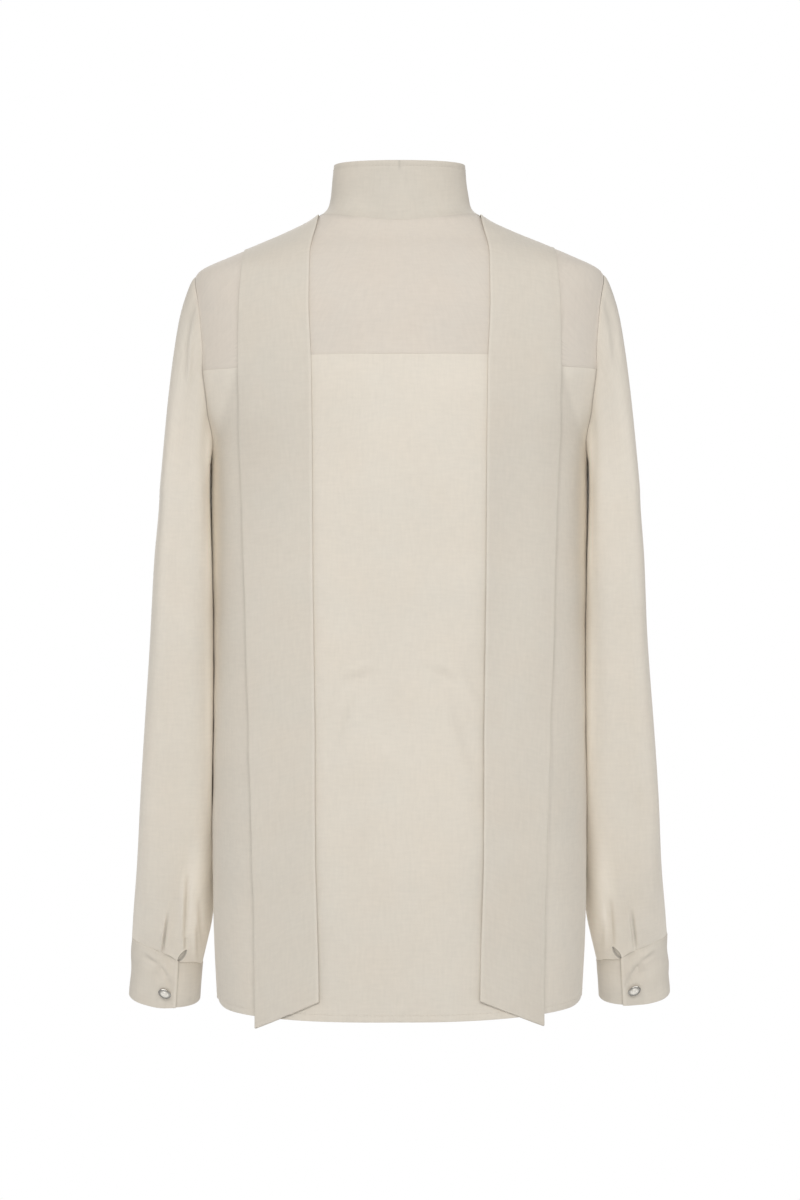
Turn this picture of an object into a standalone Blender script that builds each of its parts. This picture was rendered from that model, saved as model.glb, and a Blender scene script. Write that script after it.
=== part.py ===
"""Silk blouse with a high stand collar, a back yoke, long cuffed sleeves and two long ties.

The blouse keeps the hollow form of a general figure. +X is the wearer's left, +Y the back and +Z up, and
z = 0 is the level of the shoulder-neck points. Every piece of cloth is an open surface, shaped from a flat
grid, that a Solidify modifier makes into a wall. Sizes are in millimetres; a mesh is made in metres.
"""

import math
from bisect import bisect_right
from collections import namedtuple

import bmesh
import bpy
from mathutils import Vector

MILLIMETRE = 0.001

# Cloth
WALL = 1.4  # thickness of every cloth wall
SEAM_GAP = 0.4  # between two pieces that are sewn together
BENT_SEAM_GAP = 0.8  # where the seam runs over a rounded edge
LAYER_GAP = 0.6  # between a piece and the one it lies on
TIE_GAP = 1.3  # under a tie on the back
TIE_FRONT_GAP = 2  # under a tie on the fronts
TIE_GAP_REACH = 48.5  # how far forward of the shoulder the wider gap is reached

# Grid steps, the same for the two pieces at a seam, so that their edges run side by side
NECK_STEP = 9  # degrees round the neckline
ARMHOLE_STEP = 18  # degrees round the armhole and the sleeve
YOKE_ROWS = 7  # from the neckline to the armhole, along the shoulder seam too
YOKE_SEAM_COLUMNS = 6  # of half the back seam
BACK_COLUMNS = 12  # of half the back
ROWS_BELOW_ARMHOLE = 17
CAP_ROWS = 6
SLEEVE_ROWS = 14
WRIST_ROWS = 3
COLLAR_ROWS = 6
TIE_COLUMNS = 5
TIE_FRONT_ROWS = 10
TIE_SHOULDER_ROWS = 10
TIE_BACK_ROWS = 16
PLACKET_COLUMNS = 2
CUFF_COLUMNS = 30
CUFF_ROWS = 3

# Neck and collar
NECK_HALF_WIDTH = 70
BACK_NECK_DROP = 10.5
FRONT_NECK_DROP = 58
BACK_NECK_POWER = 2.2  # a higher power keeps the neckline level for longer beside the neck
FRONT_NECK_POWER = 3.5
RIM_HALF_WIDTH = 57.4
RIM_HALF_DEPTH = 48.5
RIM_CENTRE_Y = -3.5
RIM_SIDE_Z = 44.6
RIM_BACK_Z = 42.6
RIM_FRONT_Z = -10
COLLAR_FLARE_POWER = 3  # how quickly the flare at the seam turns into the upright band

# Yoke: its seams on the back and just in front of the shoulders
YOKE_CENTRE_Z = -127
FAN_Z = -120  # height of the axis that the fan of directions over the shoulders turns about
FAN_REACH = 300  # farther than the form is from that axis
YOKE_FRONT_NECK_TURN = -27  # degrees round the neckline, forward of the shoulder
YOKE_FRONT_ARMHOLE_TURN = -36  # degrees round the armhole, forward of the shoulder

# Armhole, seen from the side: an egg with its wide end down
ARMHOLE_CENTRE_Z = -134
ARMHOLE_HALF_HEIGHT = 83
ARMHOLE_HALF_WIDTH = 44.5
ARMHOLE_EGG = 0.22

# Hem
HEM_BACK_Z = -692
HEM_FRONT_Z = -689
HEM_SIDE_Z = -681
HEM_SIDE_REACH = 20  # power that keeps the rise close to the side seams

# Button placket, laid over the meeting fronts
PLACKET_HALF_WIDTH = 15

# Ties
TIE_FRONT_END_Z = -145
TIE_SHOULDER_OUTER_X = 132.6
TIE_INNER_END_Z = -677
TIE_OUTER_END_Z = -703

# Sleeve
SLEEVE_TOP_Z = -240  # the first whole ring under the armhole
SLEEVE_END_Z = -642
SLEEVE_BODY_GAP = 1.6
CAP_DOWN_POWER = 1.6  # the cap leaves the armhole outwards first
CAP_OUT_POWER = 0.72

# Cuff: an oval band, wound so that its end with the button lies over the other
CUFF_CENTRE = Vector((210.6, -76, -690.6))
CUFF_HALF_WIDTH = 32
CUFF_HALF_DEPTH = 28.5
CUFF_FORWARD_LEAN = math.radians(17.5)
CUFF_INWARD_LEAN = math.radians(4.2)
CUFF_EDGE_TURN = 115  # degrees from the outer side, through the back, to the overlapping edge
CUFF_OVERLAP_TURN = 42
CUFF_STEP_TURN = 40  # the turn in which the lower layer comes out to full size
CUFF_LAYER_STEP = WALL + LAYER_GAP

# Slit of the sleeve above the cuff's overlap
SLIT_TURN = 126
SLIT_HALF_TURN = 17
SLIT_HEIGHT = 9

# Button
BUTTON_LENGTH = 12
BUTTON_WIDTH = 8.5
BUTTON_HEIGHT = 4.4
BUTTON_TURN = 92
BUTTON_RISE = 14  # above the cuff's lower edge
BUTTON_TILT = math.radians(25)

TOP_FADE_POWER = 6  # how soon a panel's rows forget the shape of its top edge
WIDEST_Z = -100  # panels above this height are laid out as if the form stayed as wide

# Torso form: level sections, each a superellipse with its own back and front
SIDE_POWER = 2.4
DEPTH_POWER = 2.0
TorsoSection = namedtuple("TorsoSection", "z half_width back_depth front_depth")
TORSO = (
    TorsoSection(-720, 159.5, 108, 119),
    TorsoSection(-600, 163, 106, 119),
    TorsoSection(-500, 164, 103, 118),
    TorsoSection(-400, 164, 102, 118),
    TorsoSection(-300, 164, 105, 122),
    TorsoSection(-230, 164, 108, 122),
    TorsoSection(-205, 166, 108, 117),
    TorsoSection(-170, 178, 106, 108),
    TorsoSection(-130, 184, 102, 97),
    TorsoSection(-100, 184, 97, 86),
    TorsoSection(-80, 183, 92, 76),
    TorsoSection(-62, 181.5, 85, 67),
    TorsoSection(-51, 178, 79, 62),
    TorsoSection(-47, 174.5, 76.5, 61),
    TorsoSection(-34.5, 147.4, 68.5, 57),
    TorsoSection(-22.4, 116, 58.5, 53),
    TorsoSection(-15, 98, 54.5, 51.5),
    TorsoSection(-6.8, 80.5, 51, 49.5),
    TorsoSection(0, 70, 48, 48),
    TorsoSection(20, 36, 42, 42),
)

# Sleeve form: level at the top, leaning forward towards the cuff
SleeveSection = namedtuple("SleeveSection", "z outer_x inner_x centre_y half_depth lean")
SLEEVE = (
    SleeveSection(-618, 237.4, 166, -55.5, 38, 15.5),
    SleeveSection(-585, 234.8, 162, -46, 45, 12),
    SleeveSection(-513, 230.0, 160, -31, 50, 8),
    SleeveSection(-442, 224.8, 160, -20, 53, 5),
    SleeveSection(-371, 219.4, 161, -12, 56, 3),
    SleeveSection(-301, 215.2, 163, -7, 58, 1),
    SleeveSection(SLEEVE_TOP_Z, 210.6, 165, -4, 58, 0),
)

# Height of the cuff round it: the sleeve hangs over its inner side
CuffHeight = namedtuple("CuffHeight", "turn height")
CUFF_HEIGHTS = (
    CuffHeight(-90, 48),
    CuffHeight(0, 55),
    CuffHeight(90, 54),
    CuffHeight(112, 50),
    CuffHeight(132, 43),
    CuffHeight(180, 36),
    CuffHeight(225, 40),
    CuffHeight(270, 48),
)

# Folds pressed into the sleeve above the cuff, where its width is taken in
Pleat = namedtuple("Pleat", "turn length depth")
PLEATS = (Pleat(90, 42, 2.2), Pleat(126, 75, 1.6))

# Edges of a tie down the back, and how far it hangs off the cloth under it
TieSection = namedtuple("TieSection", "z inner_x outer_x lift")
TIE_BACK = (
    TieSection(-703, 66.3, 120.5, 6),
    TieSection(-620, 67.7, 121.1, 5.5),
    TieSection(-550, 70.0, 123.2, 5),
    TieSection(-450, 70.4, 126.5, 4),
    TieSection(-300, 72.4, 131.2, 2),
    TieSection(-210, 73.0, 134.5, 1),
    TieSection(-140, 74.0, 136.7, 0.4),
    TieSection(-80, 76.7, 136.6, 0),
    TieSection(-40, 76.7, 134.8, 0),
    TieSection(0, 70.0, 132.6, 0),
)

Finish = namedtuple("Finish", "color roughness metallic")
FINISHES = {
    "silk_yoke": Finish((0.70, 0.63, 0.55), 0.62, 0.0),
    "silk_body": Finish((0.74, 0.69, 0.62), 0.62, 0.0),
    "silk_trim": Finish((0.67, 0.61, 0.53), 0.62, 0.0),
    "silver_button": Finish((0.75, 0.74, 0.72), 0.18, 1.0),
}


# ---------------------------------------------------------------- curves


def smooth(rows, at, key=0):
    """A row's values at `at`, along a curve through the rows that makes no new bumps."""
    rows = sorted(rows, key=lambda row: row[key])
    keys = [row[key] for row in rows]
    at = min(max(at, keys[0]), keys[-1])
    i = min(max(bisect_right(keys, at) - 1, 0), len(rows) - 2)
    span = keys[i + 1] - keys[i]
    t = (at - keys[i]) / span

    def slope(j, column):
        if j in (0, len(rows) - 1):
            return 0 if len(rows) > 2 else (rows[1][column] - rows[0][column]) / span
        before = (rows[j][column] - rows[j - 1][column]) / (keys[j] - keys[j - 1])
        after = (rows[j + 1][column] - rows[j][column]) / (keys[j + 1] - keys[j])
        return 2 * before * after / (before + after) if before * after > 0 else 0

    found = []
    for column in range(len(rows[0])):
        start, end = rows[i][column], rows[i + 1][column]
        leave, arrive = slope(i, column) * span, slope(i + 1, column) * span
        found.append(
            start * (1 + 2 * t) * (1 - t) ** 2
            + leave * t * (1 - t) ** 2
            + end * t * t * (3 - 2 * t)
            - arrive * t * t * (1 - t)
        )
    return type(rows[0])(*found)


def lerp(start, end, t):
    return start + (end - start) * t


def bump(at, centre, half_width):
    """1 at the centre, falling softly to 0 at half_width from it."""
    reach = min(abs(at - centre) / half_width, 1)
    return 0.5 + 0.5 * math.cos(math.pi * reach)


# ---------------------------------------------------------------- torso form


def torso_level(point):
    """Below 0 inside the torso form, 0 on it and above 0 outside."""
    section = smooth(TORSO, point.z)
    depth = section.back_depth if point.y > 0 else section.front_depth
    return (abs(point.x) / section.half_width) ** SIDE_POWER + (abs(point.y) / depth) ** DEPTH_POWER - 1


def outward(point):
    """The direction square to the torso form at a point on it."""
    step = 0.5
    slope = Vector()
    for axis in range(3):
        shift = Vector()
        shift[axis] = step
        slope[axis] = torso_level(point + shift) - torso_level(point - shift)
    return slope.normalized()


def on_torso(x, z, side):
    """The point of the form at this x and z, on its back (side 1) or its front (side -1)."""
    section = smooth(TORSO, z)
    depth = section.back_depth if side > 0 else section.front_depth
    left_over = max(1 - (abs(x) / section.half_width) ** SIDE_POWER, 0)
    return Vector((x, side * depth * left_over ** (1 / DEPTH_POWER), z))


def side_x(y, z):
    """Half the width of the form at this y and z."""
    section = smooth(TORSO, z)
    depth = section.back_depth if y > 0 else section.front_depth
    return section.half_width * max(1 - (abs(y) / depth) ** DEPTH_POWER, 0) ** (1 / SIDE_POWER)


def fan_point(x, turn):
    """Where the form meets a ray at this x: turn 0 runs to the back, 90 up and 180 to the front."""
    direction = Vector((0, math.cos(math.radians(turn)), math.sin(math.radians(turn))))
    start = Vector((x, 0, FAN_Z))
    near, far = 0, FAN_REACH
    for _ in range(40):
        middle = (near + far) / 2
        if torso_level(start + direction * middle) < 0:
            near = middle
        else:
            far = middle
    return start + direction * near


def fan_turn(point):
    turn = math.degrees(math.atan2(point.z - FAN_Z, point.y))
    return turn + 360 if turn < -90 else turn


def between(start, end, t):
    """A point of the form part of the way from one to another, measured along the fan."""
    return fan_point(lerp(start.x, end.x, t), lerp(fan_turn(start), fan_turn(end), t))


# ---------------------------------------------------------------- seams, all on the wearer's left


def neckline(turn):
    """Turn 0 is the shoulder, 90 the centre back and -90 the centre front."""
    swing = abs(math.sin(math.radians(turn)))
    if turn > 0:
        z = -BACK_NECK_DROP * swing**BACK_NECK_POWER
    else:
        z = -FRONT_NECK_DROP * swing**FRONT_NECK_POWER
    return on_torso(NECK_HALF_WIDTH * math.cos(math.radians(turn)), z, 1 if turn > 0 else -1)


def armhole(turn):
    """Turn 0 is the shoulder, 90 the back, 180 the underarm and -90 the front."""
    up, back = math.cos(math.radians(turn)), math.sin(math.radians(turn))
    z = ARMHOLE_CENTRE_Z + ARMHOLE_HALF_HEIGHT * up
    y = ARMHOLE_HALF_WIDTH * back * (1 - ARMHOLE_EGG * up)
    return Vector((side_x(y, z), y, z))


def yoke_seam_z(x):
    reach = min(abs(x) / armhole(90).x, 1)
    return lerp(YOKE_CENTRE_Z, ARMHOLE_CENTRE_Z, reach**2)


def hem_z(x, side):
    centre = HEM_BACK_Z if side > 0 else HEM_FRONT_Z
    reach = min(abs(x) / smooth(TORSO, HEM_SIDE_Z).half_width, 1)
    return lerp(centre, HEM_SIDE_Z, reach**HEM_SIDE_REACH)


def neck_edge(turn, gap):
    """A point of the form this far out from the neckline."""
    point = neckline(turn)
    along = neckline(turn + 1) - neckline(turn - 1) if abs(turn) < 89 else Vector((-1, 0, 0))
    away = along.cross(outward(point)).normalized()
    if away.dot(Vector((point.x, 0, -NECK_HALF_WIDTH))) < 0:
        away.negate()
    moved = point + away * gap
    return on_torso(moved.x, moved.z, 1 if turn > 0 else -1)


def shoulder_seam(t, gap):
    """The yoke's front seam, from the armhole (t = 0) to the neck (t = 1), moved forward by a gap."""
    outer, inner = armhole(YOKE_FRONT_ARMHOLE_TURN), neckline(YOKE_FRONT_NECK_TURN)
    forward = math.degrees(gap / (outer - Vector((outer.x, 0, FAN_Z))).length)
    turn = lerp(fan_turn(outer), fan_turn(inner), t) + forward
    return fan_point(lerp(outer.x, inner.x, t), turn)


# ---------------------------------------------------------------- making pieces


def finish(name):
    if name in bpy.data.materials:
        return bpy.data.materials[name]
    material = bpy.data.materials.new(name)
    material.use_nodes = True
    shader = material.node_tree.nodes["Principled BSDF"]
    shader.inputs["Base Color"].default_value = (*FINISHES[name].color, 1)
    shader.inputs["Roughness"].default_value = FINISHES[name].roughness
    shader.inputs["Metallic"].default_value = FINISHES[name].metallic
    return material


def add_object(name, work, material, collection):
    mesh = bpy.data.meshes.new(name)
    work.to_mesh(mesh)
    work.free()
    mesh.materials.append(finish(material))
    mesh.shade_smooth()
    piece = bpy.data.objects.new(name, mesh)
    collection.objects.link(piece)
    return piece


def add_cloth(name, columns, rows, place, material, collection, flip=False):
    """A wall of cloth over place(u, v), which gives its outer surface in millimetres."""
    work = bmesh.new()
    bmesh.ops.create_grid(work, x_segments=columns, y_segments=rows, size=0.5)
    for vertex in work.verts:
        vertex.co = place(vertex.co.x + 0.5, vertex.co.y + 0.5) * MILLIMETRE
    bmesh.ops.remove_doubles(work, verts=work.verts, dist=0.01 * MILLIMETRE)
    if flip:
        bmesh.ops.reverse_faces(work, faces=work.faces)
    piece = add_object(name, work, material, collection)
    wall = piece.modifiers.new("Wall", "SOLIDIFY")
    wall.thickness = WALL * MILLIMETRE
    wall.offset = -1
    wall.use_even_offset = True
    return piece


def mirrored(point, side):
    return Vector((point.x * side, point.y, point.z))


# ---------------------------------------------------------------- body


def add_yoke(collection):
    """A horseshoe round the neck: u runs round it and v from the neckline out."""
    armhole_columns = (90 - YOKE_FRONT_ARMHOLE_TURN) / ARMHOLE_STEP
    half_columns = round(armhole_columns) + YOKE_SEAM_COLUMNS

    def place(u, v):
        side = 1 if u < 0.5 else -1
        column = half_columns * (1 - abs(1 - 2 * u))
        inner = neckline(YOKE_FRONT_NECK_TURN + NECK_STEP * column)
        if column < armhole_columns:
            outer = armhole(YOKE_FRONT_ARMHOLE_TURN + ARMHOLE_STEP * column)
        else:
            x = lerp(armhole(90).x, 0, (column - armhole_columns) / YOKE_SEAM_COLUMNS)
            outer = on_torso(x, yoke_seam_z(x), 1)
        seam = SEAM_GAP / (outer - inner).length
        return mirrored(between(inner, outer, lerp(seam, 1, v)), side)

    columns = 2 * half_columns
    return add_cloth("back_yoke", columns, YOKE_ROWS, place, "silk_yoke", collection, flip=True)


def spread(point):
    """A point of the front or back as (angle round the form, height), where panels are laid out."""
    width = smooth(TORSO, min(point.z, WIDEST_Z)).half_width
    return Vector((math.acos(min(abs(point.x) / width, 1) ** (SIDE_POWER / 2)), point.z))


def gathered(spot, side):
    """The point of the form that spread() gives as this spot."""
    width = smooth(TORSO, min(spot.y, WIDEST_Z)).half_width
    return on_torso(width * max(math.cos(spot.x), 0) ** (2 / SIDE_POWER), spot.y, side)


def patch(top, bottom, edge, centre, u, v):
    """The spot (u, v) of a sheet held by four curves; u runs from edge to centre and v from top to bottom."""
    fade = 1 - (1 - v) ** TOP_FADE_POWER
    down = lerp(top(u), bottom(u), fade)
    across = lerp(edge(v), centre(v), u)
    corners = lerp(lerp(top(0), bottom(0), fade), lerp(top(1), bottom(1), fade), u)
    return down + across - corners


def panel_rows(first_turn):
    """How many rows a panel has beside the armhole, and in all."""
    beside = round((180 - abs(first_turn)) / ARMHOLE_STEP)
    return beside, beside + ROWS_BELOW_ARMHOLE


def panel_edge(v, first_turn, side, first):
    """Down the armhole from the point `first`, near first_turn, to the underarm, then down the side seam."""
    beside, rows = panel_rows(first_turn)
    row = v * rows
    if row < beside:
        t = row / beside
        spot = armhole(lerp(first_turn, side * 180, t)) + (first - armhole(first_turn)) * (1 - t)
        z, y = spot.z, max(abs(spot.y), BENT_SEAM_GAP / 2)
    else:
        z = lerp(armhole(180).z, HEM_SIDE_Z, (row - beside) / ROWS_BELOW_ARMHOLE)
        y = BENT_SEAM_GAP / 2
    return spread(Vector((side_x(side * y, z), side * y, z)))


def panel_centre(v, first_turn, top_z, bottom_z, x):
    """Down the centre line, level with the edge at the underarm."""
    beside, rows = panel_rows(first_turn)
    row = v * rows
    middle = armhole(180).z
    if row < beside:
        z = lerp(top_z, middle, row / beside)
    else:
        z = lerp(middle, bottom_z, (row - beside) / ROWS_BELOW_ARMHOLE)
    return spread(Vector((x, 0, z)))


def hem_spot(u, side, x):
    """Along the hem from the side seam to the centre."""
    first = spread(Vector((side_x(side * BENT_SEAM_GAP / 2, HEM_SIDE_Z), 0, HEM_SIDE_Z))).x
    last = spread(Vector((x, 0, HEM_BACK_Z))).x
    angle = lerp(first, last, u)
    return Vector((angle, hem_z(gathered(Vector((angle, HEM_SIDE_Z)), side).x, side)))


def back_place(u, v):
    """The outer surface of the back panel, from the left side seam (u = 0) to the right one."""
    side = 1 if u < 0.5 else -1
    across = 1 - abs(1 - 2 * u)

    def top(t):
        angle = lerp(spread(armhole(90)).x, math.pi / 2, t)
        x = gathered(Vector((angle, ARMHOLE_CENTRE_Z)), 1).x
        return Vector((angle, yoke_seam_z(x) - SEAM_GAP))

    spot = patch(
        top,
        lambda t: hem_spot(t, 1, 0),
        lambda t: panel_edge(t, 90, 1, armhole(90) - Vector((0, 0, SEAM_GAP))),
        lambda t: panel_centre(t, 90, YOKE_CENTRE_Z - SEAM_GAP, HEM_BACK_Z, 0),
        across,
        v,
    )
    return mirrored(gathered(spot, 1), side)


def front_place(u, v):
    """The outer surface of the left front, from the side seam (u = 0) to the centre front."""
    neck_columns = (90 + YOKE_FRONT_NECK_TURN) / NECK_STEP
    seam_share = YOKE_ROWS / (YOKE_ROWS + neck_columns)  # of the top edge
    inner_x = SEAM_GAP / 2

    def top(t):
        if t < seam_share:
            return spread(shoulder_seam(t / seam_share, BENT_SEAM_GAP))
        corner_turn = YOKE_FRONT_NECK_TURN - math.degrees(BENT_SEAM_GAP / NECK_HALF_WIDTH)
        turn = lerp(corner_turn, -90, (t - seam_share) / (1 - seam_share))
        spot = neck_edge(turn, BENT_SEAM_GAP)
        return spread(Vector((max(spot.x, inner_x), spot.y, spot.z)))

    spot = patch(
        top,
        lambda t: hem_spot(t, -1, inner_x),
        lambda t: panel_edge(t, YOKE_FRONT_ARMHOLE_TURN, -1, shoulder_seam(0, BENT_SEAM_GAP)),
        lambda t: front_centre(t, inner_x),
        u,
        v,
    )
    return gathered(spot, -1)


def front_centre(v, x):
    top_z = neck_edge(-90, BENT_SEAM_GAP).z
    return panel_centre(v, YOKE_FRONT_ARMHOLE_TURN, top_z, HEM_FRONT_Z, x)


def add_body(collection):
    add_yoke(collection)
    rows = panel_rows(90)[1]
    add_cloth("back_panel", 2 * BACK_COLUMNS, rows, back_place, "silk_body", collection, flip=True)
    columns = YOKE_ROWS + round((90 + YOKE_FRONT_NECK_TURN) / NECK_STEP)
    rows = panel_rows(YOKE_FRONT_ARMHOLE_TURN)[1]
    add_cloth("front_left", columns, rows, front_place, "silk_body", collection)
    add_cloth(
        "front_right",
        columns,
        rows,
        lambda u, v: mirrored(front_place(u, v), -1),
        "silk_body",
        collection,
        flip=True,
    )

    def placket(u, v):
        x = lerp(-PLACKET_HALF_WIDTH, PLACKET_HALF_WIDTH, u)
        spot = on_torso(x, front_centre(v, 0).y, -1)
        return spot + outward(spot) * (LAYER_GAP + WALL)

    add_cloth("front_placket", PLACKET_COLUMNS, rows, placket, "silk_body", collection, flip=True)


# ---------------------------------------------------------------- collar


def collar_place(u, v):
    """u runs round the neck from the centre front to the centre front, v from the seam to the rim."""
    turn = lerp(-90, 90, 2 * u) if u < 0.5 else lerp(90, -90, 2 * u - 1)
    side = 1 if u < 0.5 else -1
    base = neckline(turn)
    swing = math.radians(turn)
    rim_z = RIM_BACK_Z if turn > 0 else RIM_FRONT_Z
    rim = Vector((
        RIM_HALF_WIDTH * math.cos(swing),
        RIM_CENTRE_Y + RIM_HALF_DEPTH * math.sin(swing),
        lerp(RIM_SIDE_Z, rim_z, math.sin(swing) ** 2),
    ))
    flare = (1 - v) ** COLLAR_FLARE_POWER
    point = lerp(rim, base, flare)
    point.z = lerp(base.z, rim.z, v)
    point.x = max(point.x, SEAM_GAP / 2)
    return mirrored(point, side)


def add_collar(collection):
    add_cloth("collar", 360 // NECK_STEP, COLLAR_ROWS, collar_place, "silk_trim", collection)


# ---------------------------------------------------------------- ties


def tie_rows():
    """Pairs of inner and outer edge points on the form, from the centre front over the shoulder and down."""
    rows = []
    outer_shoulder = fan_point(TIE_SHOULDER_OUTER_X, 90)
    for i in range(TIE_FRONT_ROWS, 0, -1):
        t = i / TIE_FRONT_ROWS
        outer = on_torso(
            lerp(outer_shoulder.x, SEAM_GAP, t * t), lerp(outer_shoulder.z, TIE_FRONT_END_Z, t * t), -1
        )
        inner = neckline(-90 * t)
        inner.x = max(inner.x, SEAM_GAP)
        rows.append((inner, outer))
    for i in range(TIE_SHOULDER_ROWS):
        turn = lerp(90, 0, i / TIE_SHOULDER_ROWS)
        pair = []
        for column in ("inner_x", "outer_x"):
            x = NECK_HALF_WIDTH if column == "inner_x" else TIE_SHOULDER_OUTER_X
            for _ in range(4):
                x = getattr(smooth(TIE_BACK, fan_point(x, turn).z), column)
            pair.append(fan_point(x, turn))
        rows.append(pair)
    for i in range(TIE_BACK_ROWS + 1):
        t = i / TIE_BACK_ROWS
        pair = []
        for column, end_z in (("inner_x", TIE_INNER_END_Z), ("outer_x", TIE_OUTER_END_Z)):
            z = lerp(FAN_Z, end_z, t)
            pair.append(on_torso(getattr(smooth(TIE_BACK, z), column), z, 1))
        rows.append(pair)
    return rows


def tie_place(u, v, rows):
    """u runs from the inner edge to the outer one, v along the tie."""
    inner, outer = rows[round(v * (len(rows) - 1))]
    if min(inner.z, outer.z) < FAN_Z and inner.y > 0:
        spot = on_torso(lerp(inner.x, outer.x, u), lerp(inner.z, outer.z, u), 1)
    else:
        spot = between(inner, outer, u)
    if spot.y < 0:
        forward = min(-spot.y / TIE_GAP_REACH, 1)
        gap = lerp(TIE_GAP, TIE_FRONT_GAP, forward)
        gap += (LAYER_GAP + WALL) * bump(spot.x, 0, 3 * PLACKET_HALF_WIDTH)
    else:
        gap = TIE_GAP + smooth(TIE_BACK, spot.z).lift
    return spot + outward(spot) * (gap + WALL)


def add_ties(collection):
    rows = tie_rows()
    for name, side in (("tie_left", 1), ("tie_right", -1)):
        add_cloth(
            name,
            TIE_COLUMNS,
            len(rows) - 1,
            lambda u, v: mirrored(tie_place(u, v, rows), side),
            "silk_trim",
            collection,
            flip=side < 0,
        )


# ---------------------------------------------------------------- sleeves and cuffs


def cuff_axes():
    up = Vector((-math.sin(CUFF_INWARD_LEAN), math.sin(CUFF_FORWARD_LEAN), math.cos(CUFF_FORWARD_LEAN)))
    up.normalize()
    back = Vector((0, math.cos(CUFF_FORWARD_LEAN), -math.sin(CUFF_FORWARD_LEAN)))
    return up, up.cross(back) * -1, back


def cuff_height(turn):
    return smooth(CUFF_HEIGHTS, (turn + 90) % 360 - 90).height


def cuff_point(turn, height, inset=0):
    """A point of the left cuff's oval, `height` above its lower edge."""
    up, out, back = cuff_axes()
    swing = math.radians(turn)
    return (
        CUFF_CENTRE
        + up * height
        + out * (CUFF_HALF_WIDTH - inset) * math.cos(swing)
        + back * (CUFF_HALF_DEPTH - inset) * math.sin(swing)
    )


def sleeve_ring(turn, z):
    """A point of the sleeve's ring whose sides are at this height, clear of the body."""
    section = smooth(SLEEVE, z)
    swing, lean = math.radians(turn), math.radians(section.lean)
    centre_x = (section.outer_x + section.inner_x) / 2
    half_width = (section.outer_x - section.inner_x) / 2
    reach = section.half_depth * math.sin(swing)
    point = Vector((
        centre_x + half_width * math.cos(swing),
        section.centre_y + reach * math.cos(lean),
        z - reach * math.sin(lean),
    ))
    point.x = max(point.x, side_x(point.y, point.z) + SLEEVE_BODY_GAP)
    return pleated(point, Vector((centre_x, section.centre_y, z)), turn, z)


def pleated(point, centre, turn, z):
    """The point sunk towards the ring's centre where a pleat runs."""
    sink = 0
    for pleat in PLEATS:
        rise = min(max((z - SLEEVE_END_Z) / pleat.length, 0), 1)
        sink += pleat.depth * (1 - rise) * bump(turn, pleat.turn, ARMHOLE_STEP)
    inward = Vector((centre.x - point.x, centre.y - point.y, 0))
    return point + inward.normalized() * sink


def cap_point(turn, t):
    """From the armhole (t = 0) to the first whole ring, outwards first and then down."""
    start, end = armhole(turn), sleeve_ring(turn, SLEEVE_TOP_Z)
    start.x += BENT_SEAM_GAP
    down, out = t**CAP_DOWN_POWER, t**CAP_OUT_POWER
    point = Vector((lerp(start.x, end.x, out), lerp(start.y, end.y, out), lerp(start.z, end.z, down)))
    gap = lerp(BENT_SEAM_GAP, SLEEVE_BODY_GAP, min(3 * t, 1))
    point.x = max(point.x, side_x(point.y, point.z) + gap)
    return point


def wrist_point(turn, t):
    """From the last whole ring (t = 0) to the cuff, with the slit's gap over the cuff's edge."""
    start = sleeve_ring(turn, SLEEVE[0].z)
    end = cuff_point(turn, cuff_height(turn) + BENT_SEAM_GAP)
    end.z += SLIT_HEIGHT * bump(turn, SLIT_TURN, SLIT_HALF_TURN)
    end = pleated(end, CUFF_CENTRE, turn, SLEEVE_END_Z)
    return lerp(start, end, t)


def sleeve_place(u, v):
    """u runs round the sleeve from the outer side through the back, v from the armhole to the cuff."""
    turn = 360 * u
    row = v * (CAP_ROWS + SLEEVE_ROWS + WRIST_ROWS)
    if row < CAP_ROWS:
        return cap_point(turn, row / CAP_ROWS)
    if row < CAP_ROWS + SLEEVE_ROWS:
        return sleeve_ring(turn, lerp(SLEEVE_TOP_Z, SLEEVE[0].z, (row - CAP_ROWS) / SLEEVE_ROWS))
    return wrist_point(turn, (row - CAP_ROWS - SLEEVE_ROWS) / WRIST_ROWS)


def add_sleeves(collection):
    for name, side in (("sleeve_left", 1), ("sleeve_right", -1)):
        add_cloth(
            name,
            360 // ARMHOLE_STEP,
            CAP_ROWS + SLEEVE_ROWS + WRIST_ROWS,
            lambda u, v: mirrored(sleeve_place(u, v), side),
            "silk_body",
            collection,
            flip=side > 0,
        )


def cuff_place(u, v):
    """u winds once round and past the start, from the hidden lower end to the overlapping edge."""
    turn = lerp(CUFF_EDGE_TURN - CUFF_OVERLAP_TURN, CUFF_EDGE_TURN + 360, u)
    past = min(max((turn - CUFF_EDGE_TURN) / CUFF_STEP_TURN, 0), 1)
    inset = CUFF_LAYER_STEP * (1 - past)
    return cuff_point(turn, cuff_height(turn) * (1 - v), inset)


def add_cuffs(collection):
    for name, side in (("cuff_left", 1), ("cuff_right", -1)):
        add_cloth(
            name,
            CUFF_COLUMNS,
            CUFF_ROWS,
            lambda u, v: mirrored(cuff_place(u, v), side),
            "silk_trim",
            collection,
            flip=side > 0,
        )


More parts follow.
